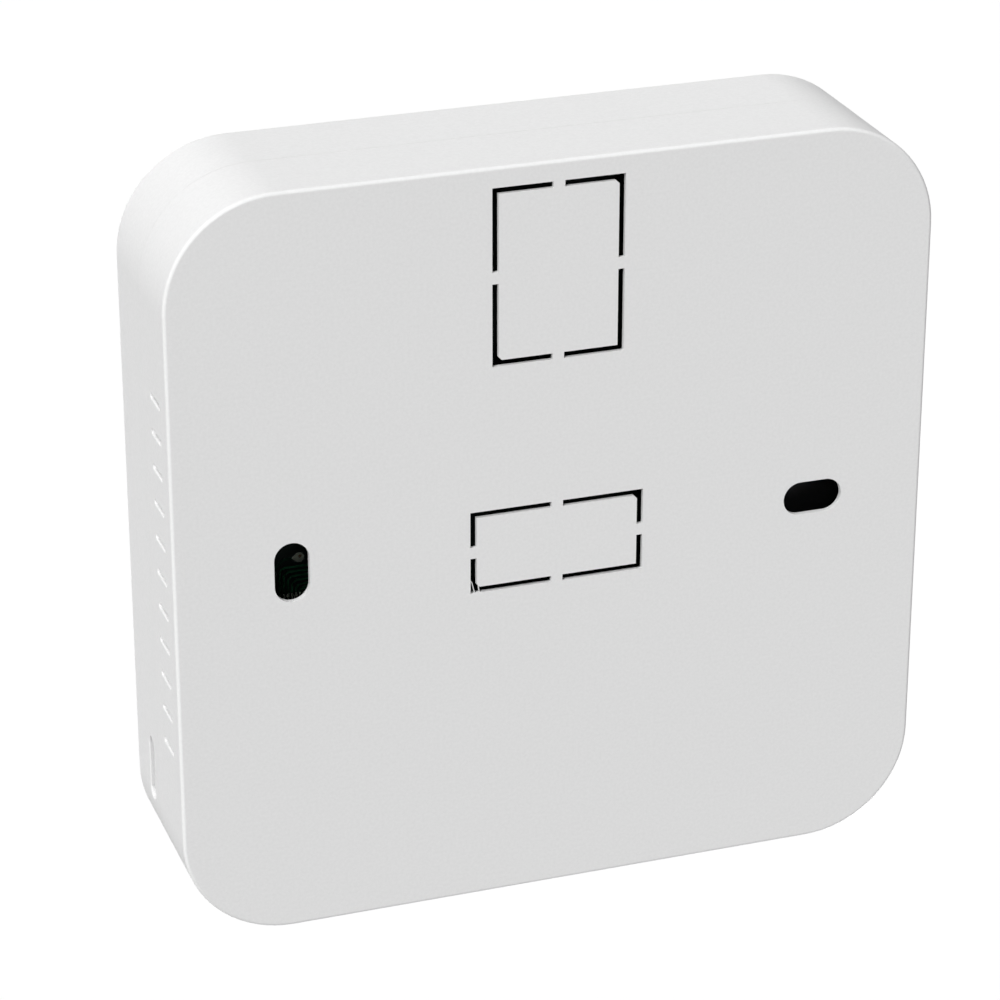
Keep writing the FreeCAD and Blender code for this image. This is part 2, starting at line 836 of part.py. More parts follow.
def clamp_cage(spot):
    """Threaded cage round the bar that climbs its screw and lifts the wire against the bar."""
    width = chamber_width - 2 * cage_side_gap
    height = cage_floor + wire_room + bar_thickness + seat_gap + cage_top
    x, z = spot
    z_span = (z - cage_length / 2, z + cage_length / 2)
    cage = block((x - width / 2, x + width / 2), from_board(cage_rest, cage_rest + height), z_span)
    low = cage_rest + cage_floor
    high = cage_rest + height - cage_top
    inside = width / 2 - cage_wall
    hole = block((x - inside, x + inside), from_board(low, high), (z_span[0] - over, z_span[1] + over))
    thread = rod("Y", spot, screw_radius + running_gap, from_board(high - fit_gap, high + cage_top + over))
    return cage.cut([hole, thread])


def relay_x(offset):
    """A place along the relay, counted from its middle."""
    return seat(relay_place)[0] + offset


def relay_case():
    """Thin cap over the relay, open towards the board."""
    low = seat_gap
    case = prism("Y", seat(relay_place), relay_size, case_radius, from_board(low, relay_top))
    inside = (relay_size[0] - 2 * relay_wall, relay_size[1] - 2 * relay_wall)
    hollow = from_board(low - over, relay_top - relay_wall)
    return case.cut(prism("Y", seat(relay_place), inside, fine_radius, hollow))


def coil_ends():
    """Where the coil's bobbin starts and ends along X."""
    start = relay_x(-relay_size[0] / 2 + relay_wall + 2 * seat_gap + yoke_thickness)
    return (start, start + coil_length + 2 * coil_flange)


def armature_face():
    """The armature's face towards the magnet's pole, at rest."""
    return coil_ends()[1] + pole_stand + armature_gap


def contact_plates():
    """The X spans of the two fixed contact plates: open contact, then closed contact."""
    blade = armature_face() + armature_thickness
    open_touch = blade - contact_height - contact_opening
    closed_touch = blade + blade_thickness + contact_height + fit_gap
    open_back = open_touch - contact_height
    closed_back = closed_touch + contact_height
    return [(open_back - blade_thickness, open_back), (closed_back, closed_back + blade_thickness)]


def relay_pin_places():
    """Two coil pins, then the common, open and closed contact pins."""
    start = coil_ends()[0] + coil_flange / 2 + seat_gap
    z = seat(relay_place)[1]
    contacts = [(sum(plate) / 2, z) for plate in contact_plates()]
    return [
        (start, z - coil_pin_offset),
        (start, z + coil_pin_offset),
        (relay_x(relay_size[0] / 2 - common_pin_inset), z),
    ] + contacts


def relay_base():
    """Moulded base that closes the relay and carries its pins."""
    size = (relay_size[0] - 2 * relay_wall - 2 * fit_gap, relay_size[1] - 2 * relay_wall - 2 * fit_gap)
    span = from_board(seat_gap, seat_gap + relay_base_height)
    base = prism("Y", seat(relay_place), size, fine_radius, span)
    through = from_board(-over, 2 * relay_base_height)
    holes = [rod("Y", spot, relay_pin_radius, through) for spot in relay_pin_places()]
    return base.cut(holes)


def relay_coil():
    """Bobbin with its winding."""
    start, end = coil_ends()
    centre = (board_rear + coil_axis_height, seat(relay_place)[1])
    flange = (coil_flange_size[1], coil_flange_size[0])
    parts = [
        prism("X", centre, flange, block_radius, (start, start + coil_flange)),
        prism("X", centre, flange, block_radius, (end - coil_flange, end)),
        rod("X", centre, coil_radius, (start, end)),
    ]
    bore = rod("X", centre, core_radius + fit_gap, (start - over, end + over))
    return joined(parts).cut(bore)


def yoke_level():
    """Height of the yoke's underside above the board; the armature rocks on its edge."""
    return coil_axis_height + coil_flange_size[1] / 2 + seat_gap


def relay_yoke():
    """Bent steel yoke with the magnet's core riveted in it."""
    start, end = coil_ends()
    centre = (board_rear + coil_axis_height, seat(relay_place)[1])
    z_span = (seat(relay_place)[1] - yoke_width / 2, seat(relay_place)[1] + yoke_width / 2)
    low = seat_gap + relay_base_height
    level = yoke_level()
    x_span = (start - yoke_thickness, armature_face() - fit_gap)
    return joined([
        block((start - yoke_thickness, start), from_board(low, level + yoke_thickness), z_span),
        block(x_span, from_board(level, level + yoke_thickness), z_span),
        rod("X", centre, core_radius, (start - yoke_thickness / 2, end + pole_stand)),
    ])


def relay_armature():
    """Armature plate with the moving contact blade on it."""
    face = armature_face()
    top = yoke_level() + yoke_thickness
    low = contact_level + contact_radius + 2 * seat_gap
    z = seat(relay_place)[1]
    half = yoke_width / 2
    blade = face + armature_thickness
    blade_end = blade + blade_thickness
    middle = (board_rear + contact_level, z)
    return joined([
        block((face, blade), from_board(low, top), (z - half, z + half)),
        block((blade, blade_end), from_board(contact_level - contact_radius, top - 2 * seat_gap),
              (z - blade_width / 2, z + blade_width / 2)),
        rod("X", middle, contact_radius, (blade - contact_height, blade_end + contact_height)),
    ])


def relay_pins():
    """Coil pins, the common lead and the two fixed contacts, each with its pin."""
    spots = relay_pin_places()
    z = seat(relay_place)[1]
    pins = []
    through = (board_front - pin_stub, board_rear + seat_gap + relay_base_height)
    for spot in spots[:3]:
        pins.append(rod("Y", spot, relay_pin_radius, (through[0], through[1] + 2 * seat_gap)))
    middle = (board_rear + contact_level, z)
    for spot, plate, side in zip(spots[3:], contact_plates(), (1, -1)):
        back = max(plate) if side > 0 else min(plate)
        button = sorted((back, back + side * contact_height))
        pins.append(joined([
            rod("X", middle, contact_radius, button),
            block(plate, from_board(seat_gap + relay_base_height, contact_level + contact_radius),
                  (z - contact_radius, z + contact_radius)),
            rod("Y", spot, relay_pin_radius, (through[0], through[1])),
        ]))
    return Part.makeCompound(pins)


def transformer_core():
    """Ferrite core with two windows either side of its middle leg."""
    x, z = seat(transformer_place)
    low = bobbin_lift
    high = low + core_height
    z_span = (z - core_size[1] / 2, z + core_size[1] / 2)
    core = block((x - core_size[0] / 2, x + core_size[0] / 2), from_board(low, high), z_span)
    middle = (low + high) / 2
    window_span = from_board(middle - core_window[1] / 2, middle + core_window[1] / 2)
    windows = []
    for side in (-1, 1):
        edges = sorted((x + side * core_leg / 2, x + side * (core_leg / 2 + core_window[0])))
        windows.append(block(edges, window_span, (z_span[0] - over, z_span[1] + over)))
    return core.cut(windows)


def transformer_winding():
    """Bobbin and taped winding round the middle leg."""
    x, z = seat(transformer_place)
    middle = bobbin_lift + core_height / 2
    low = middle - core_window[1] / 2 + fit_gap
    high = middle + core_window[1] / 2 - fit_gap
    flange = (winding_size[0], winding_size[1] + 2 * bobbin_overhang)
    leg = block(
        (x - core_leg / 2 - fit_gap, x + core_leg / 2 + fit_gap), from_board(low - over, high + over),
        (z - core_size[1] / 2 - fit_gap, z + core_size[1] / 2 + fit_gap),
    )
    coil = joined([
        prism("Y", (x, z), winding_size, winding_radius, from_board(low, high)),
        prism("Y", (x, z), flange, moulded_radius, from_board(low, low + bobbin_flange)),
        prism("Y", (x, z), flange, moulded_radius, from_board(high - bobbin_flange, high)),
    ])
    return coil.cut(leg)


def transformer_pin_places():
    """Four pins at the corners of the bobbin."""
    x, z = seat(transformer_place)
    reach_x = winding_size[0] / 2 - 2 * bobbin_pin_radius
    reach_z = winding_size[1] / 2 + bobbin_overhang - 2 * bobbin_pin_radius
    return [(x + sx * reach_x, z + sz * reach_z) for sx in (-1, 1) for sz in (-1, 1)]


def transformer_pins():
    """Pins from the bobbin's lower flange through the board."""
    top = board_rear + bobbin_lift + (core_height - core_window[1]) / 2 + fit_gap
    span = (board_front - pin_stub, top)
    return Part.makeCompound([rod("Y", spot, bobbin_pin_radius, span) for spot in transformer_pin_places()])


def bent_lead(start, reach, drop_to, radius):
    """A wire along X from a component's end, turned down to the board."""
    corner = FreeCAD.Vector(start.x + reach, start.y, start.z)
    foot = FreeCAD.Vector(corner.x, drop_to, corner.z)
    along = corner - start
    down = foot - corner
    return joined([
        Part.makeCylinder(radius, along.Length, start, along),
        Part.makeSphere(radius, corner),
        Part.makeCylinder(radius, down.Length, corner, down),
    ])


def lying_capacitor(sizes):
    """Electrolytic can on its side, with a rolled neck and two leads at the +X end."""
    x, z = seat(sizes["place"])
    radius = sizes["radius"]
    half = sizes["length"] / 2
    axis_y = board_rear + radius + fit_gap
    neck = FreeCAD.Vector(x + half - radius / 2, axis_y, z)
    can = rod("X", (axis_y, z), radius, (x - half, x + half))
    ring = Part.makeTorus(radius + capacitor_neck / 2, capacitor_neck, neck, FreeCAD.Vector(1, 0, 0))
    can = can.makeFillet(capacitor_neck, circles(can, radius)).cut(ring)
    leads = []
    for side in (-1, 1):
        start = FreeCAD.Vector(x + half - fit_gap, axis_y, z + side * sizes["lead_spacing"] / 2)
        leads.append(bent_lead(start, lead_overhang, board_rear, lead_radius))
    return joined([can] + leads)


def box_capacitor():
    """Moulded film capacitor that filters the mains."""
    height = filter_capacitor["height"]
    span = from_board(0, height)
    body = prism("Y", seat(filter_capacitor["place"]), filter_capacitor["size"], moulded_radius, span)
    return body.makeFillet(fine_radius, rim_edges(body, span[1]))


def varistor_disc():
    """Coated surge disc standing on two leads."""
    x, z = seat(varistor["place"])
    radius = varistor["radius"]
    half = varistor["thickness"] / 2
    axis_y = board_rear + radius + varistor_stand
    disc = rod("Z", (x, axis_y), radius, (z - half, z + half))
    disc = disc.makeFillet(varistor["round"], circles(disc, radius))
    leads = []
    for side in (-1, 1):
        spot = (x + side * varistor_lead_offset, z)
        leads.append(rod("Y", spot, lead_radius, (board_rear, axis_y)))
    return joined([disc] + leads)


def fuse_resistor_body():
    """Axial fusible resistor with swollen end caps."""
    x, z = seat(fuse_resistor["place"])
    radius = fuse_resistor["radius"]
    half = fuse_resistor["length"] / 2
    axis_y = board_rear + radius + seat_gap
    shapes = [rod("X", (axis_y, z), fuse_waist_radius, (x - half, x + half))]
    for side in (-1, 1):
        span = sorted((x + side * half, x + side * (half - fuse_cap["length"])))
        swelling = rod("X", (axis_y, z), radius, span)
        shapes.append(swelling.makeFillet(fuse_cap["round"], circles(swelling, radius)))
        start = FreeCAD.Vector(x + side * (half - fit_gap), axis_y, z)
        shapes.append(bent_lead(start, side * lead_overhang, board_rear, lead_radius))
    return joined(shapes)


def bridge_rectifier():
    """Flat moulded rectifier with a foot at each corner."""
    x, z = seat(rectifier["place"])
    length = rectifier["size"][1]
    span = from_board(rectifier["stand"], rectifier["height"])
    body = prism("Y", (x, z), rectifier["size"], block_radius, span)
    body = body.makeChamfer(fine_radius, rim_edges(body, span[1]))
    shapes = [body]
    for side in (-1, 1):
        for along in (-1, 1):
            foot = x + along * rectifier["feet"] / 2
            span = sorted((z + side * (length / 2 - over), z + side * (length / 2 + 2 * seat_gap)))
            shapes.append(block((foot - lead_width / 2, foot + lead_width / 2), from_board(0, over), span))
    return joined(shapes)


def controller_chip():
    """Moulded body of the controller."""
    size = (controller_body, controller_body)
    top = controller_lift + controller_height
    body = prism("Y", seat(controller_place), size, moulded_radius, from_board(controller_lift, top))
    return body.makeChamfer(glass_radius, rim_edges(body, board_rear + top))


def controller_leads():
    """Gull-wing leads along the four sides of the controller."""
    middle_x, middle_z = seat(controller_place)
    middle = controller_lift + controller_height / 2
    half = controller_body / 2
    knee = half + controller_knee
    foot = half + controller_lead
    thick = controller_lead_thickness
    outline = [
        (half, board_rear + middle), (knee, board_rear + middle), (knee, board_rear + thick),
        (foot, board_rear + thick), (foot, board_rear), (knee - thick, board_rear),
        (knee - thick, board_rear + middle - thick), (half, board_rear + middle - thick),
    ]
    leads = []
    for quarter in range(4):
        for index in range(controller_pins):
            along = (index - (controller_pins - 1) / 2) * controller_pitch
            span = (along - controller_lead_width / 2, along + controller_lead_width / 2)
            lead = profile("Z", outline, span)
            lead.rotate(FreeCAD.Vector(0, 0, 0), FreeCAD.Vector(0, 1, 0), quarter * 90)
            lead.translate(FreeCAD.Vector(middle_x, 0, middle_z))
            leads.append(lead)
    return Part.makeCompound(leads)


def crystal_can():
    """Clock crystal in a small can."""
    span = from_board(0, crystal["height"])
    return prism("Y", seat(crystal["place"]), crystal["size"], fine_radius, span)


def temperature_sensor():
    """Thermistor bead on two stiff leads beside the vents."""
    x, z = seat(sensor_place)
    bead_y = board_rear + sensor_stand
    bead = Part.makeSphere(sensor_radius, FreeCAD.Vector(x, bead_y, z))
    leads = []
    for side in (-1, 1):
        foot = FreeCAD.Vector(x, board_rear, z + side * sensor_lead_spread)
        head = FreeCAD.Vector(x, bead_y, z + side * sensor_radius / 3)
        leads.append(Part.makeCylinder(sensor_lead_radius, (head - foot).Length, foot, head - foot))
    below = block((x - over, x + over), from_board(-over, 0), (z - 3 * over, z + 3 * over))
    return joined([bead] + leads).cut(below)


def chip_parts():
    """Small chip resistors and capacitors."""
    return Part.makeCompound([
        prism("Y", seat(spot), chip_size, sharp_radius, from_board(0, chip_height)) for spot in chip_places
    ])


def main_board():
    """Circuit board with its holes for screws, pegs and soldered pins."""
    board = prism("Y", (0, 0), (board_width, board_height), board_corner_radius, (board_front, board_rear))
    through = (board_front - over, board_rear + over)
    holes = []
    for spot in board_screw_places():
        holes.append(rod("Y", spot, board_screw_radius + board_screw_clearance, through))
    for spot in peg_places():
        holes.append(rod("Y", spot, peg_radius + seat_gap, through))
    leg = bar_leg_place()
    for x, z in terminal_places():
        pin_radius = math.hypot(bar_pin_width, bar_leg_thickness) / 2 + pin_hole_clearance
        holes.append(rod("Y", (x, sum(leg) / 2), pin_radius, through))
    for spot in relay_pin_places():
        holes.append(rod("Y", spot, relay_pin_radius + pin_hole_clearance, through))
    for spot in transformer_pin_places():
        holes.append(rod("Y", spot, bobbin_pin_radius + pin_hole_clearance, through))
    return board.cut(holes)


def board_screws():
    """Pan-head screws that hold the board on the bosses of the front shell."""
    screws = []
    for spot in board_screw_places():
        head_top = board_rear + board_screw_head_height
        head = rod("Y", spot, board_screw_head_radius, (board_rear, head_top))
        head = head.makeFillet(board_screw_head_round, rim_edges(head, head_top))
        shank = rod("Y", spot, board_screw_radius, (board_rear - board_screw_length, board_rear))
        screws.append(joined([head, shank]))
    return Part.makeCompound(screws)


def push_key(spot):
    """Key cap with a flange behind the front wall and a stem down to its switch."""
    cap_front = front_y + key_recess
    flange_front = front_inside + fit_gap
    cap = key_outline(-key_clearance, (cap_front, flange_front))
    cap = cap.makeFillet(key_edge_round, rim_edges(cap, cap_front))
    flange = key_outline(key_flange_margin, (flange_front, flange_front + key_flange_thickness))
    stem = rod("Y", key_places()[1], key_stem_radius, (flange_front, plunger_tip - running_gap))
    key = joined([cap, flange, stem])
    key.translate(FreeCAD.Vector(spot[0], 0, 0))
    return key


def switch_bases():
    """Moulded bases of the three push switches."""
    bases = []
    for spot in key_places():
        front = board_front - switch_base_height
        base = prism("Y", spot, (switch_width, switch_width), moulded_radius, (front, board_front))
        well = rod("Y", spot, plunger_radius + running_gap, (front - over, front + plunger_well))
        bases.append(base.cut(well))
    return Part.makeCompound(bases)


def switch_covers():
    """Stamped metal covers with a hole for the plunger."""
    covers = []
    for spot in key_places():
        back = board_front - switch_base_height
        span = (back - switch_cover_thickness, back)
        plate = prism("Y", spot, (switch_width, switch_width), moulded_radius, span)
        hole = rod("Y", spot, plunger_radius + running_gap, (back - over, back + over))
        covers.append(plate.cut(hole))
    return Part.makeCompound(covers)


def switch_leads():
    """Four soldered feet on each switch."""
    leads = []
    for x, z in key_places():
        for side in (-1, 1):
            for along in (-1, 1):
                foot_z = z + along * switch_width / 3
                span = sorted((x + side * switch_width / 2, x + side * (switch_width / 2 + lead_reach)))
                leads.append(block(span, (board_front - lead_thickness, board_front),
                                   (foot_z - lead_width / 2, foot_z + lead_width / 2)))
    return Part.makeCompound(leads)


def switch_plunger(spot):
    """Round plunger that the key's stem pushes."""
    back = board_front - switch_base_height + plunger_well - key_travel - running_gap
    return rod("Y", spot, plunger_radius, (plunger_tip, back))


def build():
    """Every piece under its node's name."""
    pieces = {
        "rear_shell": rear_shell(),
        "snap_arms": snap_arms(),
        "front_shell": front_shell(),
        "display_window": display_window(),
        "lcd_frame": lcd_frame(),
        "lcd_cell": lcd_cell(),
        "light_guide": light_guide(),
        "backlight_leds": backlight_leds(),
        "contact_strip": contact_strip(),
        "main_board": main_board(),
        "board_screws": board_screws(),
        "switch_bases": switch_bases(),
        "switch_covers": switch_covers(),
        "switch_leads": switch_leads(),
        "terminal_block": terminal_block(),
        "terminal_contacts": terminal_contacts(),
        "relay_case": relay_case(),
        "relay_base": relay_base(),
        "relay_coil": relay_coil(),
        "relay_yoke": relay_yoke(),
        "relay_armature": relay_armature(),
        "relay_pins": relay_pins(),
        "transformer_core": transformer_core(),
        "transformer_winding": transformer_winding(),
        "transformer_pins": transformer_pins(),
        "bulk_capacitor": lying_capacitor(bulk_capacitor),
        "output_capacitor": lying_capacitor(output_capacitor),
        "filter_capacitor": box_capacitor(),
        "varistor": varistor_disc(),
        "fuse_resistor": fuse_resistor_body(),
        "bridge_rectifier": bridge_rectifier(),
        "controller_chip": controller_chip(),
        "controller_leads": controller_leads(),
        "clock_crystal": crystal_can(),
        "temperature_sensor": temperature_sensor(),
        "chip_parts": chip_parts(),
    }
    for name, spot in zip(key_names, key_places()):
        pieces["key_" + name] = push_key(spot)
        pieces["switch_plunger_" + name] = switch_plunger(spot)
    for number, spot in enumerate(terminal_places(), 1):
        pieces["terminal_screw_%d" % number] = terminal_screw(spot)
        pieces["clamp_cage_%d" % number] = clamp_cage(spot)
    return pieces


os.makedirs("parts", exist_ok=True)
for node, shape in build().items():
    shape.exportStep("parts/%s.step" % node)
    box = shape.BoundBox
    print("%-22s solids %2d valid %s volume %9.2f  x %7.2f %7.2f  y %7.2f %7.2f  z %7.2f %7.2f" % (
        node, len(shape.Solids), shape.isValid(), shape.Volume,
        box.XMin, box.XMax, box.YMin, box.YMax, box.ZMin, box.ZMax))
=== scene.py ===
import json
import math

import bmesh
import bpy
from mathutils import Matrix, Vector


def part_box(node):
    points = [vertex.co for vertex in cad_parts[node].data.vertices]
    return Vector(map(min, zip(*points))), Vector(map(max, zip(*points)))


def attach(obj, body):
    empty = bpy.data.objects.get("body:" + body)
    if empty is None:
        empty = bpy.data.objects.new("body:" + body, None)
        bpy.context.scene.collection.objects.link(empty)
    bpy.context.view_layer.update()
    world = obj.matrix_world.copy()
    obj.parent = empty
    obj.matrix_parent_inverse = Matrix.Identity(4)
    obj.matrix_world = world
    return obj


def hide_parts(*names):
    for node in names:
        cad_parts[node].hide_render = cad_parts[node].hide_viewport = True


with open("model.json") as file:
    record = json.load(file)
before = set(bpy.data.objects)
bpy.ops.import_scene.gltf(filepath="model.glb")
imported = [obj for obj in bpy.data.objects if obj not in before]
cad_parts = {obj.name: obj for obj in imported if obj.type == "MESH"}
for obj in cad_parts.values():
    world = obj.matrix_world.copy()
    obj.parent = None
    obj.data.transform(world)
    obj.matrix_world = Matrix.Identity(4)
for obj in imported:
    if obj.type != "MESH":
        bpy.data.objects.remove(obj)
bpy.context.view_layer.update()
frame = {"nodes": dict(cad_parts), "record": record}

# A wall-mounted boiler thermostat, seen from behind. Lengths are in millimetres, which MM turns into
# metres where Blender takes them. Only the camera's place and the floor are given in metres.
MM = 0.001
BOARD_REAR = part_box("main_board")[1].y / MM
CELL_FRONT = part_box("lcd_cell")[0].y / MM
FLOOR_Z = -0.45
FLOOR_REACH = 9.0
CAMERA_PLACE = (0.126144, 0.346360, 0.171453)
CAMERA_TARGET = (0.00666, 0.0, 0.00518)
FOCAL_LENGTH = 134.77
AMBIENT = 0.1
# Distant lamps: name, direction, spread in degrees, strength.
LIGHTS = (
    ("key", (0.54, 0.47, 0.70), 16, 1.85),
    ("overhead", (0.35, 0.10, 0.93), 16, 1.29),
    ("behind", (0.04, 1.0, 0.03), 30, 0.87),
    ("viewer", (0.297, 0.862, 0.413), 8, 0.11),
    ("low_behind", (0.40, 0.80, -0.45), 5, 0.28),
    ("low_side", (0.75, -0.12, -0.65), 5, 0.62),
    ("front", (0.15, -0.87, 0.39), 40, 0.25),
    ("front_fill", (0.0, -1.0, 0.0), 8, 0.6),
    ("low_front", (-0.5, -0.5, -0.7), 5, 2.0),
)
# The ranges that hold most values of a noise pattern, for colours and for roughness.
COLOUR_SPAN = (0.3, 0.7)
ROUGHNESS_SPAN = (0.25, 0.75)
scene = bpy.context.scene


# ---------------------------------------------------------------- materials
def maths(tree, operation, first, second):
    """A maths node on a socket and another socket or number."""
    node = tree.nodes.new("ShaderNodeMath")
    node.operation = operation
    tree.links.new(first, node.inputs[0])
    if isinstance(second, float):
        node.inputs[1].default_value = second
    else:
        tree.links.new(second, node.inputs[1])
    return node.outputs[0]


class Paint:
    """A principled material with a few procedural patterns on it."""

    def __init__(self, name, rough=0.5, **sockets):
        self.material = bpy.data.materials.new(name)
        self.material.use_nodes = True
        self.tree = self.material.node_tree
        self.shader = self.tree.nodes["Principled BSDF"]
        self.shader.inputs["Roughness"].default_value = rough
        for socket, value in sockets.items():
            self.shader.inputs[socket.replace("_", " ")].default_value = value
        self.coordinates = self.add("ShaderNodeTexCoord").outputs["Object"]
        self.height = None

    def add(self, kind, **settings):
        """A new node with these settings."""
        node = self.tree.nodes.new(kind)
        for key, value in settings.items():
            setattr(node, key, value)
        return node

    def link(self, source, target):
        self.tree.links.new(source, target)

    def stretched(self, scale):
        """Coordinates that are squeezed by a factor along each axis."""
        mapping = self.add("ShaderNodeMapping")
        mapping.inputs["Scale"].default_value = scale
        self.link(self.coordinates, mapping.inputs["Vector"])
        return mapping.outputs["Vector"]

    def noise(self, size_mm, detail=3.0, stretch=None):
        """Noise between 0 and 1 whose lumps are about this size."""
        node = self.add("ShaderNodeTexNoise")
        node.inputs["Scale"].default_value = 1.0 / (size_mm * MM)
        node.inputs["Detail"].default_value = detail
        self.link(self.stretched(stretch) if stretch else self.coordinates, node.inputs["Vector"])
        return node.outputs["Fac"]

    def bands(self, axis, size_mm, distortion=0.0):
        """Waves between 0 and 1 along an axis, at this pitch."""
        node = self.add("ShaderNodeTexWave", wave_type="BANDS", bands_direction=axis)
        node.inputs["Scale"].default_value = math.pi / 10 / (size_mm * MM)
        node.inputs["Distortion"].default_value = distortion
        self.link(self.coordinates, node.inputs["Vector"])
        return node.outputs["Fac"]

    def along(self, axis):
        """The place along an axis, in metres."""
        split = self.add("ShaderNodeSeparateXYZ")
        self.link(self.coordinates, split.inputs["Vector"])
        return split.outputs[axis]

    def ramp(self, source, low, high, first=0.0, last=1.0):
        """Goes from first to last while the source goes from low to high, and stays there beyond."""
        node = self.add("ShaderNodeMapRange")
        ends = {"From Min": low, "From Max": high, "To Min": first, "To Max": last}
        for socket, value in ends.items():
            node.inputs[socket].default_value = value
        self.link(source, node.inputs["Value"])
        return node.outputs["Result"]

    def mix(self, factor, first, last):
        """A colour between two, which are colours or sockets."""
        node = self.add("ShaderNodeMix", data_type="RGBA")
        for socket, value in ((node.inputs[6], first), (node.inputs[7], last)):
            if isinstance(value, tuple):
                socket.default_value = (*value, 1.0)
            else:
                self.link(value, socket)
        self.link(factor, node.inputs[0])
        return node.outputs[2]

    def blotched(self, source, first, last):
        """A colour that wanders between two with a noise pattern."""
        return self.mix(self.ramp(source, *COLOUR_SPAN), first, last)

    def colour(self, socket):
        """Gives the surface its colour."""
        self.link(socket, self.shader.inputs["Base Color"])

    def vary(self, source, colour, share):
        """Lets the surface's colour wander by a share of itself to either side."""
        self.colour(self.blotched(source, shade(colour, 1 - share), shade(colour, 1 + share)))

    def roughness(self, source, low, high):
        """Lets the roughness wander between two values with a noise pattern."""
        self.link(self.ramp(source, *ROUGHNESS_SPAN, low, high), self.shader.inputs["Roughness"])

    def surface(self, socket):
        """Puts another shader than the principled one on the surface."""
        self.link(socket, self.tree.nodes["Material Output"].inputs["Surface"])

    def bump(self, source, depth_mm, strength=1.0):
        """A raised pattern; a second call adds to the first."""
        node = self.add("ShaderNodeBump")
        node.inputs["Strength"].default_value = strength
        node.inputs["Distance"].default_value = depth_mm * MM
        self.link(source, node.inputs["Height"])
        if self.height:
            self.link(self.height, node.inputs["Normal"])
        self.height = node.outputs["Normal"]
        self.link(self.height, self.shader.inputs["Normal"])


def shade(colour, factor):
    """A lighter or darker colour."""
    return tuple(min(1.0, c * factor) for c in colour)


def moulded(name, colour, rough=0.5, grain_mm=0.12, depth_mm=0.004, mottle=0.03, **sockets):
    """Moulded plastic: faint clouds of colour, a fine sparked texture and uneven sheen."""
    paint = Paint(name, rough, **sockets)
    paint.vary(paint.noise(9.0, 4.0), colour, mottle)
    paint.roughness(paint.noise(1.6, 2.0), rough - 0.06, rough + 0.06)
    paint.bump(paint.noise(grain_mm, 2.0), depth_mm)
    return paint.material


def metal(name, colour, rough):
    """Plated or bare metal with fine rolled streaks and cloudy sheen."""
    paint = Paint(name, rough, Metallic=1.0)
    streaks = paint.noise(0.4, 3.0, (1.0, 8.0, 1.0))
    paint.vary(paint.noise(1.8, 3.0), colour, 0.12)
    paint.roughness(streaks, rough - 0.12, rough + 0.15)
    paint.bump(streaks, 0.002)
    return paint.material


def shell_material():
    """White moulded plastic with a fine sparked texture."""
    paint = Paint("shell_plastic", 0.6, IOR=1.46)
    paint.vary(paint.noise(0.36, 2.0), (0.80, 0.80, 0.80), 0.021)
    paint.roughness(paint.noise(2.5, 2.0), 0.56, 0.64)
    paint.bump(paint.noise(0.22, 3.0), 0.008, 0.6)
    paint.bump(paint.noise(0.55, 2.0), 0.007, 0.6)
    return paint.material


def window_material(name, tint, rough):
    """Clear plastic: light passes straight through it, so what lies behind is lit."""
    paint = Paint(name, rough, Transmission_Weight=1.0, IOR=1.45)
    paint.shader.inputs["Base Color"].default_value = (*tint, 1.0)
    paint.roughness(paint.noise(3.0, 2.0), rough, rough + 0.02)
    clear = paint.add("ShaderNodeBsdfTransparent")
    clear.inputs["Color"].default_value = (*tint, 1.0)
    rays = paint.add("ShaderNodeLightPath").outputs
    falling = maths(paint.tree, "MAXIMUM", rays["Is Shadow Ray"], rays["Is Diffuse Ray"])
    either = paint.add("ShaderNodeMixShader")
    paint.link(falling, either.inputs["Fac"])
    paint.link(paint.shader.outputs["BSDF"], either.inputs[1])
    paint.link(clear.outputs["BSDF"], either.inputs[2])
    paint.surface(either.outputs["Shader"])
    return paint.material


def display_material():
    """Reflective liquid-crystal glass: grey green, with a faint cross grain and clear edges."""
    paint = Paint("display_glass", 0.22, IOR=1.5, Coat_Weight=0.5)
    body = paint.blotched(paint.noise(0.25, 2.0), (0.33, 0.37, 0.30), (0.37, 0.41, 0.335))
    above_ledge = paint.ramp(paint.along("Z"), -5.5 * MM, -4.0 * MM)
    paint.colour(paint.mix(above_ledge, (0.42, 0.45, 0.42), body))
    paint.bump(paint.noise(0.5, 2.0), 0.001)
    return paint.material


def strip_material():
    """Elastomer strip of thin conducting and plain layers."""
    paint = Paint("strip_rubber", 0.8)
    layers = paint.ramp(paint.bands("X", 0.3), 0.35, 0.65)
    paint.colour(paint.mix(layers, (0.03, 0.03, 0.032), (0.42, 0.30, 0.28)))
    paint.bump(layers, 0.01)
    return paint.material


def board_material():
    """Glass-fibre laminate under a dark green mask, with the weave just showing."""
    paint = Paint("board_laminate", 0.55, IOR=1.38)
    weave = maths(paint.tree, "MULTIPLY", paint.bands("X", 0.5, 0.3), paint.bands("Z", 0.5, 0.3))
    mask = paint.blotched(paint.noise(6.0, 3.0), (0.0015, 0.006, 0.004), (0.0022, 0.009, 0.006))
    half_weave = paint.ramp(weave, 0.0, 1.0, 0.0, 0.5)
    paint.colour(paint.mix(half_weave, mask, (0.004, 0.014, 0.009)))
    paint.roughness(paint.noise(0.8, 2.0), 0.5, 0.62)
    paint.bump(weave, 0.004)
    return paint.material


def track_material(name, colour):
    """Copper track under the mask: a lighter green than the bare laminate."""
    paint = Paint(name, 0.32, IOR=1.5, Coat_Weight=0.3)
    paint.vary(paint.noise(1.2, 3.0), colour, 0.1)
    paint.bump(paint.noise(0.15, 2.0), 0.002)
    return paint.material


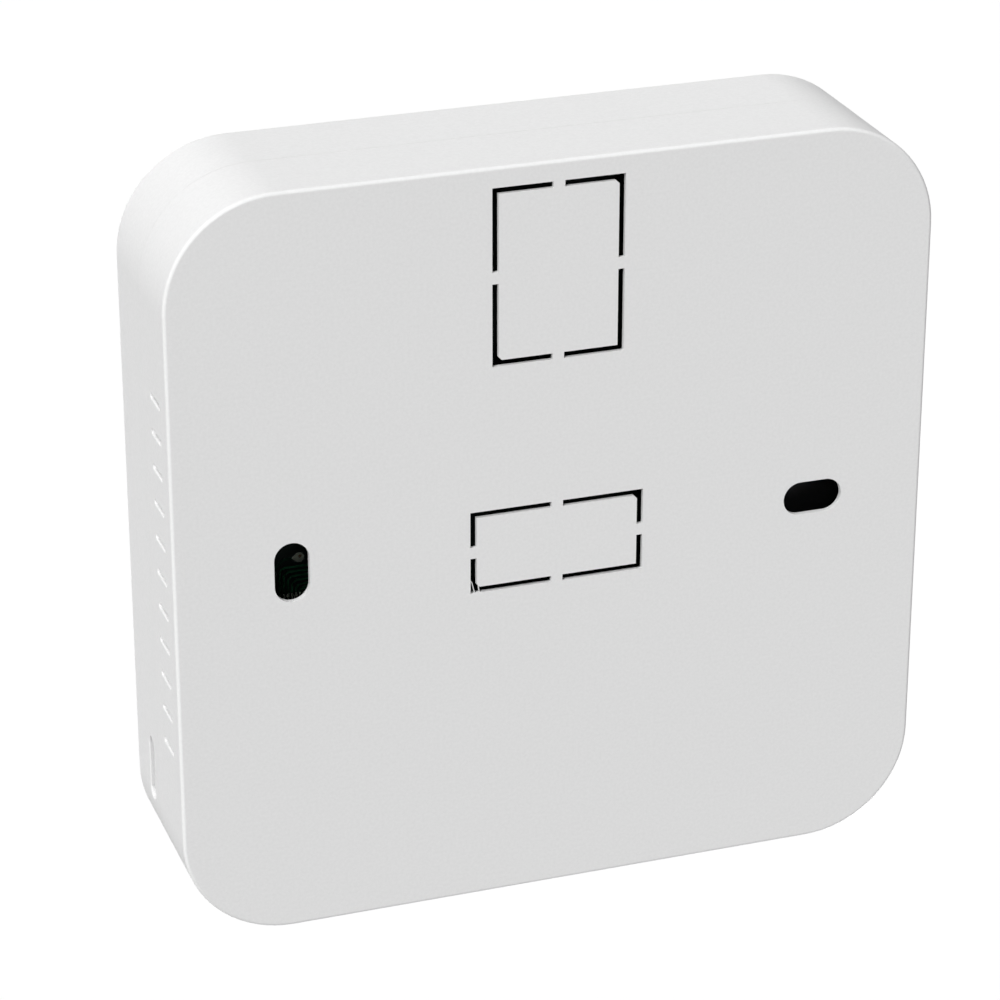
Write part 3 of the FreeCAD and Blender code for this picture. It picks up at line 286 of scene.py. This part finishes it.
def solder_material():
    """Tinned copper: bright, a little lumpy."""
    paint = Paint("tinned_copper", 0.28, Metallic=1.0)
    paint.colour(paint.blotched(paint.noise(0.5, 3.0), (0.56, 0.56, 0.53), (0.74, 0.73, 0.70)))
    paint.roughness(paint.noise(0.3, 2.0), 0.2, 0.42)
    paint.bump(paint.noise(0.25, 2.0), 0.01)
    return paint.material


def land_material():
    """Levelled tin on the lands of the board: pale, dull where it is thin."""
    paint = Paint("tinned_land", 0.42, Metallic=0.35)
    paint.colour(paint.blotched(paint.noise(0.45, 3.0), (0.58, 0.64, 0.53), (0.74, 0.80, 0.68)))
    paint.roughness(paint.noise(0.3, 2.0), 0.35, 0.55)
    paint.bump(paint.noise(0.3, 2.0), 0.008)
    return paint.material


def winding_material(name, colour, dark, axis, pitch_mm, rough):
    """Wound wire or tape: fine ridges along one axis."""
    paint = Paint(name, rough, Coat_Weight=0.3)
    turns = paint.bands(axis, pitch_mm, 0.2)
    paint.colour(paint.mix(paint.ramp(turns, 0.1, 0.6), dark, colour))
    paint.bump(turns, pitch_mm * 0.3)
    paint.bump(paint.noise(0.6, 2.0), 0.01)
    return paint.material


def sleeve_material():
    """Shrunk sleeve of a capacitor with its pale polarity stripe on the side towards the wall."""
    paint = Paint("capacitor_sleeve", 0.3, IOR=1.5)
    dark = paint.blotched(paint.noise(2.0, 3.0), (0.010, 0.011, 0.016), (0.016, 0.017, 0.024))
    stripe = paint.ramp(paint.along("Y"), -5.30 * MM, -5.22 * MM)
    paint.colour(paint.mix(stripe, dark, (0.45, 0.47, 0.50)))
    paint.bump(paint.noise(0.5, 2.0), 0.006)
    return paint.material


def shine(name, colour, rough, mottle=0.05, lump_mm=1.2, depth_mm=0.02):
    """Dipped or lacquered coating, glossy and slightly uneven."""
    paint = Paint(name, rough, IOR=1.5, Coat_Weight=0.4)
    paint.vary(paint.noise(lump_mm * 2, 3.0), colour, mottle)
    paint.roughness(paint.noise(lump_mm, 2.0), rough - 0.05, rough + 0.08)
    paint.bump(paint.noise(lump_mm, 2.0), depth_mm)
    return paint.material


MATERIALS = {
    "shell_plastic": shell_material(),
    "key_plastic": moulded("key_plastic", (0.50, 0.51, 0.52), 0.42),
    "frame_plastic": moulded("frame_plastic", (0.70, 0.70, 0.68), 0.5),
    "window_acrylic": window_material("window_acrylic", (0.97, 0.985, 0.98), 0.03),
    "display_glass": display_material(),
    "light_guide_acrylic": window_material("light_guide_acrylic", (0.93, 0.96, 0.97), 0.3),
    "lamp_resin": shine("lamp_resin", (0.80, 0.70, 0.28), 0.35),
    "strip_rubber": strip_material(),
    "board_laminate": board_material(),
    "zinc_steel": metal("zinc_steel", (0.56, 0.57, 0.57), 0.32),
    "tinned_copper": solder_material(),
    "cage_brass": metal("cage_brass", (0.70, 0.55, 0.26), 0.34),
    "soft_iron": metal("soft_iron", (0.42, 0.42, 0.42), 0.38),
    "switch_plastic": moulded("switch_plastic", (0.020, 0.020, 0.022), 0.45, 0.1),
    "terminal_plastic": moulded("terminal_plastic", (0.020, 0.190, 0.070), 0.42, 0.1, IOR=1.5),
    "relay_plastic": moulded("relay_plastic", (0.014, 0.014, 0.016), 0.36, 0.15, 0.0006),
    "copper_winding": winding_material(
        "copper_winding", (0.48, 0.17, 0.05), (0.12, 0.03, 0.01), "X", 0.2, 0.35),
    "ferrite": moulded("ferrite", (0.045, 0.045, 0.048), 0.55, 0.2, 0.02, 0.12),
    "winding_tape": winding_material(
        "winding_tape", (0.72, 0.50, 0.03), (0.55, 0.36, 0.02), "Y", 1.9, 0.3),
    "capacitor_sleeve": sleeve_material(),
    "film_capacitor_resin": moulded("film_capacitor_resin", (0.62, 0.36, 0.02), 0.34, 0.2, 0.0008),
    "varistor_coating": shine("varistor_coating", (0.02, 0.06, 0.26), 0.3),
    "resistor_lacquer": shine("resistor_lacquer", (0.16, 0.25, 0.21), 0.45),
    "chip_resin": moulded("chip_resin", (0.022, 0.022, 0.024), 0.55, 0.08, 0.004, 0.08),
    "sensor_resin": shine("sensor_resin", (0.015, 0.015, 0.016), 0.3),
}
TRACK = track_material("masked_copper", (0.017, 0.135, 0.060))
INNER_TRACK = track_material("buried_copper", (0.004, 0.034, 0.017))
LAND = land_material()
BARE_BOARD = moulded("bare_laminate", (0.20, 0.145, 0.07), 0.6, 0.2, 0.006, 0.1)
SEGMENT = shine("display_segment", (0.018, 0.022, 0.026), 0.35, 0.1, 0.6, 0.001)
SYMBOL = moulded("key_symbol", (0.09, 0.095, 0.10), 0.5)
LEGEND = moulded("board_legend", (0.62, 0.63, 0.60), 0.6, 0.08, 0.003, 0.06)
ALUMINIUM = metal("capacitor_top", (0.62, 0.63, 0.64), 0.3)

for part in frame["record"]["subparts"]:
    node = frame["nodes"][part["node"]]
    node.data.materials.clear()
    node.data.materials.append(MATERIALS[part["material_slot"]])
    for polygon in node.data.polygons:
        polygon.material_index = 0


# ---------------------------------------------------------------- flat shapes on the board and the front
def finish_piece(name, mesh, material, body):
    """Turns the mesh into a piece of the scene that moves with a body."""
    mesh.normal_update()
    data = bpy.data.meshes.new(name)
    mesh.to_mesh(data)
    mesh.free()
    data.materials.append(material)
    piece = bpy.data.objects.new(name, data)
    scene.collection.objects.link(piece)
    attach(piece, body)
    return piece


def corners(mesh, outline, y):
    """The points of an outline, given as (x, z) in mm, at one place along Y."""
    return [mesh.verts.new((x * MM, y * MM, z * MM)) for x, z in outline]


def wall(mesh, first, second):
    """The faces between two closed rows of as many points."""
    for index in range(len(first)):
        after = (index + 1) % len(first)
        mesh.faces.new((first[after], first[index], second[index], second[after]))


def slab(mesh, outline, low, high):
    """A flat plate with this outline, between two places along Y."""
    area = sum(a[0] * b[1] - b[0] * a[1] for a, b in zip(outline, outline[1:] + outline[:1]))
    if area < 0:
        outline = outline[::-1]
    front, back = corners(mesh, outline, low), corners(mesh, outline, high)
    mesh.faces.new(front)
    mesh.faces.new(back[::-1])
    wall(mesh, front, back)


def band(mesh, outer, inner, low, high):
    """A flat plate between two outlines that have as many points as each other."""
    loops = [
        corners(mesh, outline, y)
        for outline, y in ((outer, low), (outer, high), (inner, high), (inner, low))
    ]
    for first, second in zip(loops, loops[1:] + loops[:1]):
        wall(mesh, first, second)


def disc_outline(x, z, radius, count=24):
    """A circle as a regular outline."""
    angles = [math.tau * step / count for step in range(count)]
    return [(x + radius * math.cos(angle), z + radius * math.sin(angle)) for angle in angles]


def rounded_route(points, radius, steps=8):
    """The route with its corners rounded, by less than the radius where a run is short."""
    route = [Vector(points[0])]
    for before, corner, after in zip(points, points[1:], points[2:]):
        before, corner, after = Vector(before), Vector(corner), Vector(after)
        back = (before - corner).normalized()
        ahead = (after - corner).normalized()
        opening = back.angle(ahead)
        reach = radius / math.tan(opening / 2)
        reach = min(reach, (before - corner).length * 0.95, (after - corner).length * 0.95)
        true_radius = reach * math.tan(opening / 2)
        centre = corner + (back + ahead).normalized() * (true_radius / math.sin(opening / 2))
        first = corner + back * reach - centre
        sweep = math.pi - opening
        turn = math.copysign(sweep, back.x * ahead.y - back.y * ahead.x) * -1
        for step in range(steps + 1):
            route.append(centre + Matrix.Rotation(turn * step / steps, 2) @ first)
    route.append(Vector(points[-1]))
    return route


def strip(mesh, points, width, low, high, radius=0.0):
    """A flat strip of one width that follows a route."""
    route = rounded_route(points, radius) if radius else [Vector(p) for p in points]
    sides = ([], [])
    for index, point in enumerate(route):
        before = route[max(index - 1, 0)]
        after = route[min(index + 1, len(route) - 1)]
        ahead = (after - before).normalized()
        across = Vector((-ahead.y, ahead.x)) * (width / 2)
        sides[0].append(point + across)
        sides[1].append(point - across)
    outline = [tuple(p) for p in sides[0]] + [tuple(p) for p in reversed(sides[1])]
    slab(mesh, outline, low, high)


def ring(mesh, x, z, outer, inner, low, high, count=24):
    """A flat washer."""
    band(mesh, disc_outline(x, z, outer, count), disc_outline(x, z, inner, count), low, high)


def rectangle(x, z, width, height):
    """The outline of a rectangle round its middle."""
    signs = ((-1, -1), (1, -1), (1, 1), (-1, 1))
    return [(x + sx * width / 2, z + sz * height / 2) for sx, sz in signs]


def frame_line(mesh, x, z, width, height, low, high, line=0.15):
    """A printed line round a rectangle."""
    inner = rectangle(x, z, width - 2 * line, height - 2 * line)
    band(mesh, rectangle(x, z, width, height), inner, low, high)


def teardrop(x, z, radius, tip, count=48):
    """A circle drawn out to a point towards +X."""
    flank = math.acos(radius / tip)
    outline = []
    for step in range(count):
        angle = math.tau * step / count
        turned = min(angle, math.tau - angle)
        reach = radius / math.cos(max(0.0, flank - turned))
        outline.append((x + reach * math.cos(angle), z + reach * math.sin(angle)))
    return outline


# A screw's thread depth as a share of its pitch, its rows of points per turn and across its head,
# the height of the head's bevel as a share of the head's, and the sides of every row.
THREAD_DEPTH = 0.26
ROWS_PER_TURN = 6
HEAD_ROWS = 11
BEVEL = 0.35
SCREW_SIDES = 32


def screw(mesh, x, z, tip, seat, top, shank, head, pitch, recess):
    """A screw along Y with a bevelled head, a recess in it and a rolled thread down to its tip."""
    angles = [math.tau * index / SCREW_SIDES for index in range(SCREW_SIDES)]
    loops = []
    steps = int((seat - tip) / pitch * ROWS_PER_TURN)
    for step in range(steps + 1):
        y = tip + (seat - tip) * step / steps
        fade = max(0.0, min(1.0, (y - tip) / pitch, (seat - y) / pitch))
        loop = []
        for index, angle in enumerate(angles):
            phase = (y / pitch - index / SCREW_SIDES) % 1.0
            ridge = THREAD_DEPTH / 2 * pitch * (1.0 + math.cos(math.tau * phase))
            radius = shank - THREAD_DEPTH * pitch + ridge * fade
            loop.append((radius * math.cos(angle), y, radius * math.sin(angle)))
        loops.append(loop)
    rim = BEVEL * (top - seat)
    for radius, y in ((head, seat), (head, top - rim), (head - 0.3 * rim, top - 0.3 * rim)):
        loops.append([(radius * math.cos(angle), y, radius * math.sin(angle)) for angle in angles])
    for step in range(HEAD_ROWS):
        radius = (head - rim) * (1.0 - step / HEAD_ROWS)
        places = [(radius * math.cos(angle), radius * math.sin(angle)) for angle in angles]
        loops.append([(px, top - recess(px, pz), pz) for px, pz in places])
    rows = [
        [mesh.verts.new(((x + px) * MM, y * MM, (z + pz) * MM)) for px, y, pz in loop]
        for loop in loops
    ]
    for first, second in zip(rows, rows[1:]):
        for index in range(SCREW_SIDES):
            after = (index + 1) % SCREW_SIDES
            mesh.faces.new((first[index], second[index], second[after], first[after]))
    for row, y in ((rows[0][::-1], tip), (rows[-1], top - recess(0.0, 0.0))):
        middle = mesh.verts.new((x * MM, y * MM, z * MM))
        for index in range(SCREW_SIDES):
            mesh.faces.new((row[index], middle, row[(index + 1) % SCREW_SIDES]))


def inside(place, edge, slope):
    """1 well inside an edge, 0 outside it, over a slope of this width."""
    return max(0.0, min(1.0, (edge - place) / slope))


def cross_recess(x, z):
    """Depth of a cross recess that narrows to its bottom."""
    arm = max(abs(x), abs(z))
    side = min(abs(x), abs(z))
    return 0.75 * inside(arm, 1.15, 0.5) * inside(side, 0.42, 0.12)


def slot_recess(x, z):
    """Depth of a straight slot along X."""
    return 0.6 * inside(abs(z), 0.32, 0.1)


# ---------------------------------------------------------------- the board's lands, tracks and print
LAND_TOP = BOARD_REAR + 0.05
MASK_TOP = BOARD_REAR + 0.035
BURIED_TOP = BOARD_REAR + 0.02
PRINT_TOP = BOARD_REAR + 0.02
HOLE_BOTTOM_TOP = BOARD_REAR + 0.012

# Lands round the controller, whose 12 leads a side stand at an even pitch.
LEAD_PITCH = 0.46
CONTROLLER_X, CONTROLLER_Z = 25.54, -13.4
LEAD_STEPS = [(5.5 - step) * LEAD_PITCH for step in range(12)]
LEAD_LAND = (0.25, 1.6)
LEAD_LAND_REACH = 4.3
lands = bmesh.new()
for across in LEAD_STEPS:
    for reach in (-LEAD_LAND_REACH, LEAD_LAND_REACH):
        upright = rectangle(CONTROLLER_X + across, CONTROLLER_Z + reach, *LEAD_LAND)
        level = rectangle(CONTROLLER_X + reach, CONTROLLER_Z + across, *LEAD_LAND[::-1])
        slab(lands, upright, BOARD_REAR, LAND_TOP)
        slab(lands, level, BOARD_REAR, LAND_TOP)

# Washers of tin round the pins that pass through the board: x, z, outer and inner radius. In turn, they
# belong to the terminals, transformer, two lying capacitors, resistor, surge disc and sensor.
PIN_RINGS = (
    [(step * 5.08, -19.9, 1.15, 0.72) for step in (-2, -1, 0, 1, 2)]
    + [(31.0 + sx * 3.0, -24.2 + sz * 4.6, 0.85, 0.49) for sx in (-1, 1) for sz in (-1, 1)]
    + [(2.05, -33.0 + sz * 1.75, 0.75, 0.3) for sz in (-1, 1)]
    + [(18.95, -33.6 + sz * 1.25, 0.7, 0.3) for sz in (-1, 1)]
    + [(-10.2 + sx * 5.7, -25.8, 0.8, 0.3) for sx in (-1, 1)]
    + [(10.8 + sx * 2.3, -26.2, 0.8, 0.3) for sx in (-1, 1)]
    + [(36.4, -9.0 + sz * 1.2, 0.6, 0.26) for sz in (-1, 1)]
)
for x, z, outer, inner in PIN_RINGS:
    ring(lands, x, z, outer, inner, BOARD_REAR, LAND_TOP)

# A round land with a drawn-out tip, and small plated holes at the ends of the tracks.
TEST_LAND = (25.80, -4.10)
TEST_HOLE = (25.70, -3.98)
band(lands, teardrop(*TEST_LAND, 0.59, 0.90), disc_outline(*TEST_HOLE, 0.19, 48), BOARD_REAR, LAND_TOP)
TRACK_LEVELS = [-5.17 - 0.5475 * step for step in range(5)]
TRACK_VIAS = [(17.7 + 0.9 * (step % 2), level) for step, level in enumerate(TRACK_LEVELS)]
VIAS = TRACK_VIAS + [(24.6, -7.65), (30.6, -6.9), (22.0, -19.6), (24.4, -20.4), (27.0, -19.6)]
for x, z in VIAS:
    ring(lands, x, z, 0.33, 0.15, BOARD_REAR, LAND_TOP)
finish_piece("board_lands", lands, LAND, "front_unit")

bottoms = bmesh.new()
for x, z in [TEST_HOLE] + VIAS:
    slab(bottoms, disc_outline(x, z, 0.17), BOARD_REAR, HOLE_BOTTOM_TOP)
finish_piece("board_hole_bottoms", bottoms, BARE_BOARD, "front_unit")

# Tracks: five nested ones from the controller's upper leads, others to what lies round it, and wide
# mains ones. A route has its width, the radius of its corners and its points.
tracks = bmesh.new()
for lead, (via_x, level) in zip(LEAD_STEPS, TRACK_VIAS):
    x = CONTROLLER_X + lead
    strip(tracks, [(x, -8.3), (x, level), (via_x + 0.3, level)], 0.26, BOARD_REAR, MASK_TOP, 0.72)
ROUTES = (
    (0.26, 0.8, ((25.77, -8.3), (25.77, -7.95), (24.9, -7.75))),
    (0.26, 0.8, ((30.64, -11.0), (30.9, -11.0))),
    (0.26, 0.8, ((30.64, -13.4), (30.9, -13.4))),
    (0.30, 0.8, ((20.4, -11.5), (19.1, -11.5))),
    (0.30, 0.8, ((20.4, -14.0), (19.1, -14.0))),
    (0.30, 0.8, ((17.9, -11.5), (15.6, -11.5), (15.6, -9.0), (17.9, -9.0))),
    (0.30, 0.8, ((23.0, -18.5), (23.0, -19.2), (22.3, -19.6))),
    (0.30, 0.8, ((25.0, -18.5), (24.4, -20.1))),
    (0.30, 0.8, ((27.0, -18.5), (27.0, -19.3))),
    (0.40, 1.2, ((36.4, -7.8), (36.4, 0.0), (24.0, 0.0), (23.2, -1.6))),
    (1.40, 1.2, ((-4.5, -25.8), (-3.0, -25.8), (0.0, -23.0), (0.0, -20.5))),
    (1.40, 1.2, ((-15.9, -25.8), (-17.5, -25.8), (-17.5, -31.2))),
    (1.40, 1.2, ((5.08, -20.6), (5.08, -24.0), (8.5, -26.2))),
    (1.20, 1.2, ((13.1, -26.2), (20.0, -26.2), (24.0, -28.8), (27.5, -28.8))),
    (1.20, 1.2, ((18.95, -34.5), (26.0, -36.0), (30.5, -34.4))),
)
for width, radius, route in ROUTES:
    strip(tracks, route, width, BOARD_REAR, MASK_TOP, radius)
finish_piece("board_tracks", tracks, TRACK, "front_unit")
TIP_ROUTE = ((26.64, -4.12), (27.6, -4.15), (28.75, -5.2), (30.6, -6.6))
buried = bmesh.new()
strip(buried, TIP_ROUTE, 0.3, BOARD_REAR, BURIED_TOP, 1.2)
finish_piece("board_inner_track", buried, INNER_TRACK, "front_unit")

# Printed frames round the larger components: x, z, width and height.
PRINTED_FRAMES = (
    (0.0, -17.0, 26.6, 8.8), (-27.4, -17.0, 20.6, 10.6), (31.0, -24.2, 11.8, 11.4),
    (-5.4, -33.0, 12.8, 8.6), (12.0, -33.6, 11.8, 6.9), (-22.8, -34.4, 13.6, 5.6),
    (-10.2, -25.8, 9.2, 4.0), (10.8, -26.2, 8.0, 3.8), (-33.3, -4.8, 8.9, 8.6),
    (21.5, -1.6, 3.8, 2.1), (CONTROLLER_X, CONTROLLER_Z, 7.3, 7.3),
)
legend = bmesh.new()
for place_and_size in PRINTED_FRAMES:
    frame_line(legend, *place_and_size, BOARD_REAR, PRINT_TOP)
finish_piece("board_print", legend, LEGEND, "front_unit")


# ---------------------------------------------------------------- flash, screws and capacitor ends
# Thin slivers of moulding flash left in one corner of the lower knock-out.
SLIVERS = (
    ((10.03, -3.98), (9.87, -4.18), (9.76, -4.54), (9.53, -5.54)),
    ((9.12, -4.62), (9.07, -5.01), (8.96, -5.54)),
)
flash = bmesh.new()
for sliver in SLIVERS:
    strip(flash, sliver, 0.075, -0.30, -0.10)
finish_piece("moulding_flash", flash, MATERIALS["shell_plastic"], "rear_unit")

# Screws with their recesses and threads.
STEEL = MATERIALS["zinc_steel"]
HEAD_HEIGHT = 1.3
BOARD_SCREW_REACH = 33.0
BOARD_SCREW_LENGTH = 5.0
board_screws = bmesh.new()
for x in (-BOARD_SCREW_REACH, BOARD_SCREW_REACH):
    for z in (-BOARD_SCREW_REACH, BOARD_SCREW_REACH):
        screw(board_screws, x, z, BOARD_REAR - BOARD_SCREW_LENGTH, BOARD_REAR, BOARD_REAR + HEAD_HEIGHT,
              shank=1.1, head=2.0, pitch=0.8, recess=cross_recess)
piece = finish_piece("threaded_board_screws", board_screws, STEEL, "front_unit")
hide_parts("board_screws")
for terminal in range(1, 6):
    name = "terminal_screw_%d" % terminal
    low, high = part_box(name)
    clamp_screw = bmesh.new()
    screw(clamp_screw, (low.x + high.x) / 2 / MM, (low.z + high.z) / 2 / MM,
          low.y / MM, high.y / MM - HEAD_HEIGHT, high.y / MM,
          shank=1.2, head=1.8, pitch=0.5, recess=slot_recess)
    piece = finish_piece("threaded_" + name, clamp_screw, STEEL, name)
    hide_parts(name)

# Bare ends of the lying capacitors: the can's closed end at -X, and its seal and leads at +X.
SEAL_AND_LEADS = 1.76 * MM
CLOSED_END = 0.02 * MM
for name in ("bulk_capacitor", "output_capacitor"):
    node = frame["nodes"][name]
    node.data.materials.append(ALUMINIUM)
    low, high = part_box(name)
    for polygon in node.data.polygons:
        along_x = polygon.center.x
        if along_x > high.x - SEAL_AND_LEADS or along_x < low.x + CLOSED_END:
            polygon.material_index = 1


# ---------------------------------------------------------------- display and keys
SEGMENT_SPAN = (CELL_FRONT - 0.03, CELL_FRONT)
# Shares of a figure's height: its width, its strokes, the gap at a stroke's end, the lean to the
# right, the pitch from figure to figure, and how a point stands between two.
FIGURE_WIDTH = 0.52
STROKE = 0.13
STROKE_GAP = 0.08
LEAN = 0.09
FIGURE_PITCH = 0.76
POINT_PITCH = 0.10
POINT_BACK = 0.08
SEGMENTS = {
    "0": "abcdef", "1": "bc", "2": "abged", "3": "abgcd", "4": "fgbc",
    "5": "afgcd", "6": "afgedc", "7": "abc",
}


def digit(mesh, character, x, z, height):
    """A seven-segment digit with its lower left corner at (x, z), leaning a little to the right."""
    width = height * FIGURE_WIDTH
    thick = height * STROKE
    half = height / 2
    ends = {
        "a": ((0, height), (width, height)), "b": ((width, half), (width, height)),
        "c": ((width, 0), (width, half)), "d": ((0, 0), (width, 0)),
        "e": ((0, 0), (0, half)), "f": ((0, half), (0, height)), "g": ((0, half), (width, half)),
    }
    for segment in SEGMENTS[character]:
        first, last = (Vector(end) for end in ends[segment])
        ahead = (last - first).normalized()
        across = Vector((-ahead.y, ahead.x)) * (thick / 2)
        first = first + ahead * thick * STROKE_GAP
        last = last - ahead * thick * STROKE_GAP
        points = [
            first, first + ahead * thick / 2 + across, last - ahead * thick / 2 + across,
            last, last - ahead * thick / 2 - across, first + ahead * thick / 2 - across,
        ]
        slab(mesh, [(x + p.x + p.y * LEAN, z + p.y) for p in points], *SEGMENT_SPAN)


def number(mesh, text, x, z, height):
    """A number whose figures stand at an even pitch, with a square point."""
    for character in text:
        if character == ".":
            side = height * STROKE
            slab(mesh, rectangle(x - height * POINT_BACK, z, side, side), *SEGMENT_SPAN)
            x += height * POINT_PITCH
        else:
            digit(mesh, character, x, z, height)
            x += height * FIGURE_PITCH


# The room's temperature and the degree ring, the set temperature in its frame, the days with a line
# under the present one, and a bar for each hour, tall where the heating is on.
LEFT_EDGE = -18.4
DAY_PITCH = 5.2
HOUR_PITCH = 1.6
HOUR_BASE = -2.0
segments = bmesh.new()
number(segments, "21", -18.2, 4.0, 12.0)
number(segments, ".5", 1.2, 4.0, 7.5)
ring(segments, 3.6, 14.9, 1.1, 0.62, *SEGMENT_SPAN)
number(segments, "20.0", 11.2, 12.2, 4.2)
frame_line(segments, 15.9, 14.3, 12.6, 7.0, *SEGMENT_SPAN, line=0.22)
for day in range(7):
    number(segments, str(day + 1), LEFT_EDGE + day * DAY_PITCH, 19.6, 2.2)
slab(segments, rectangle(-12.6, 18.7, 2.2, 0.3), *SEGMENT_SPAN)
for hour in range(24):
    height = 1.9 if 6 <= hour < 9 or 17 <= hour < 23 else 0.7
    bar = rectangle(LEFT_EDGE + hour * HOUR_PITCH, HOUR_BASE + height / 2, 1.15, height)
    slab(segments, bar, *SEGMENT_SPAN)
finish_piece("display_segments", segments, SEGMENT, "front_unit")

KEY_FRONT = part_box("key_set")[0].y / MM
KEY_Z = -26.0
SYMBOL_SPAN = (KEY_FRONT - 0.03, KEY_FRONT + 0.01)
ARM, STEM = 1.5, 0.25
MINUS_SIGN = [(-ARM, -STEM), (ARM, -STEM), (ARM, STEM), (-ARM, STEM)]
PLUS_SIGN = [
    (-ARM, -STEM), (-STEM, -STEM), (-STEM, -ARM), (STEM, -ARM), (STEM, -STEM), (ARM, -STEM),
    (ARM, STEM), (STEM, STEM), (STEM, ARM), (-STEM, ARM), (-STEM, STEM), (-ARM, STEM),
]
for name, x, sign in (("minus", -20.0, MINUS_SIGN), ("set", 0.0, None), ("plus", 20.0, PLUS_SIGN)):
    symbol = bmesh.new()
    if sign:
        slab(symbol, [(x + px, KEY_Z + pz) for px, pz in sign], *SYMBOL_SPAN)
    else:
        ring(symbol, x, KEY_Z, 1.35, 0.9, *SYMBOL_SPAN, 48)
    finish_piece("key_symbol_" + name, symbol, SYMBOL, "key_" + name)


# ---------------------------------------------------------------- camera, light and background
def aimed(obj, position, target):
    """Places a lamp or camera and turns it to its target."""
    back = (Vector(position) - Vector(target)).normalized()
    right = Vector((0.0, 0.0, 1.0)).cross(back).normalized()
    turn = Matrix((right, back.cross(right), back)).transposed().to_4x4()
    obj.matrix_world = Matrix.Translation(position) @ turn
    scene.collection.objects.link(obj)


def distant_light(name, direction, spread_degrees, strength):
    """A soft light from far away, so that it falls evenly on the whole part."""
    lamp = bpy.data.lights.new(name, "SUN")
    lamp.angle = math.radians(spread_degrees)
    lamp.energy = strength
    aimed(bpy.data.objects.new(name, lamp), direction, (0.0, 0.0, 0.0))


def seen_directly(tree):
    """1 where a camera, mirror or glass ray looks, 0 where light falls, also through glass."""
    rays = tree.nodes.new("ShaderNodeLightPath").outputs
    looking = maths(tree, "MAXIMUM", rays["Is Camera Ray"], rays["Is Glossy Ray"])
    looking = maths(tree, "MAXIMUM", looking, rays["Is Transmission Ray"])
    return maths(tree, "MULTIPLY", looking, maths(tree, "LESS_THAN", rays["Diffuse Depth"], 0.5))


def white_world():
    """White to the eye, and a weak even light on the part."""
    world = bpy.data.worlds.new("studio")
    world.use_nodes = True
    sky = world.node_tree
    strength = sky.nodes.new("ShaderNodeMapRange")
    strength.inputs["To Min"].default_value = AMBIENT
    strength.inputs["To Max"].default_value = 1.0
    background = sky.nodes["Background"]
    background.inputs["Color"].default_value = (1.0, 1.0, 1.0, 1.0)
    sky.links.new(seen_directly(sky), strength.inputs["Value"])
    sky.links.new(strength.outputs["Result"], background.inputs["Strength"])
    return world


def floor_material():
    """Pale, with a glow that makes it white to the eye, and darker in the light that it throws back."""
    paint = Paint("floor", 0.9)
    seen = seen_directly(paint.tree)
    pale = paint.mix(paint.noise(400.0, 2.0), (0.80, 0.80, 0.80), (0.82, 0.82, 0.82))
    paint.colour(paint.mix(seen, (0.2, 0.2, 0.2), pale))
    glow = paint.add("ShaderNodeEmission")
    glow.inputs["Strength"].default_value = 1.06
    blend = paint.add("ShaderNodeMixShader")
    paint.link(maths(paint.tree, "MULTIPLY", seen, 0.8), blend.inputs["Fac"])
    paint.link(paint.shader.outputs["BSDF"], blend.inputs[1])
    paint.link(glow.outputs["Emission"], blend.inputs[2])
    paint.surface(blend.outputs["Shader"])
    return paint.material


camera = bpy.data.cameras.new("camera")
camera.lens = FOCAL_LENGTH
camera.sensor_width = 36.0
camera.clip_start = 0.01
camera.clip_end = 50.0
viewer = bpy.data.objects.new("camera", camera)
aimed(viewer, CAMERA_PLACE, CAMERA_TARGET)
scene.camera = viewer

for light in LIGHTS:
    distant_light(*light)

scene.view_settings.view_transform = "Standard"
scene.world = white_world()

# The low lamps shine up through the floor, so it casts no shadow.
ground = bmesh.new()
bmesh.ops.create_grid(ground, x_segments=8, y_segments=8, size=FLOOR_REACH)
bmesh.ops.translate(ground, verts=ground.verts, vec=(0.0, 0.0, FLOOR_Z))
floor_mesh = bpy.data.meshes.new("floor")
ground.to_mesh(floor_mesh)
ground.free()
floor_mesh.materials.append(floor_material())
floor = bpy.data.objects.new("floor", floor_mesh)
floor.visible_shadow = False
scene.collection.objects.link(floor)
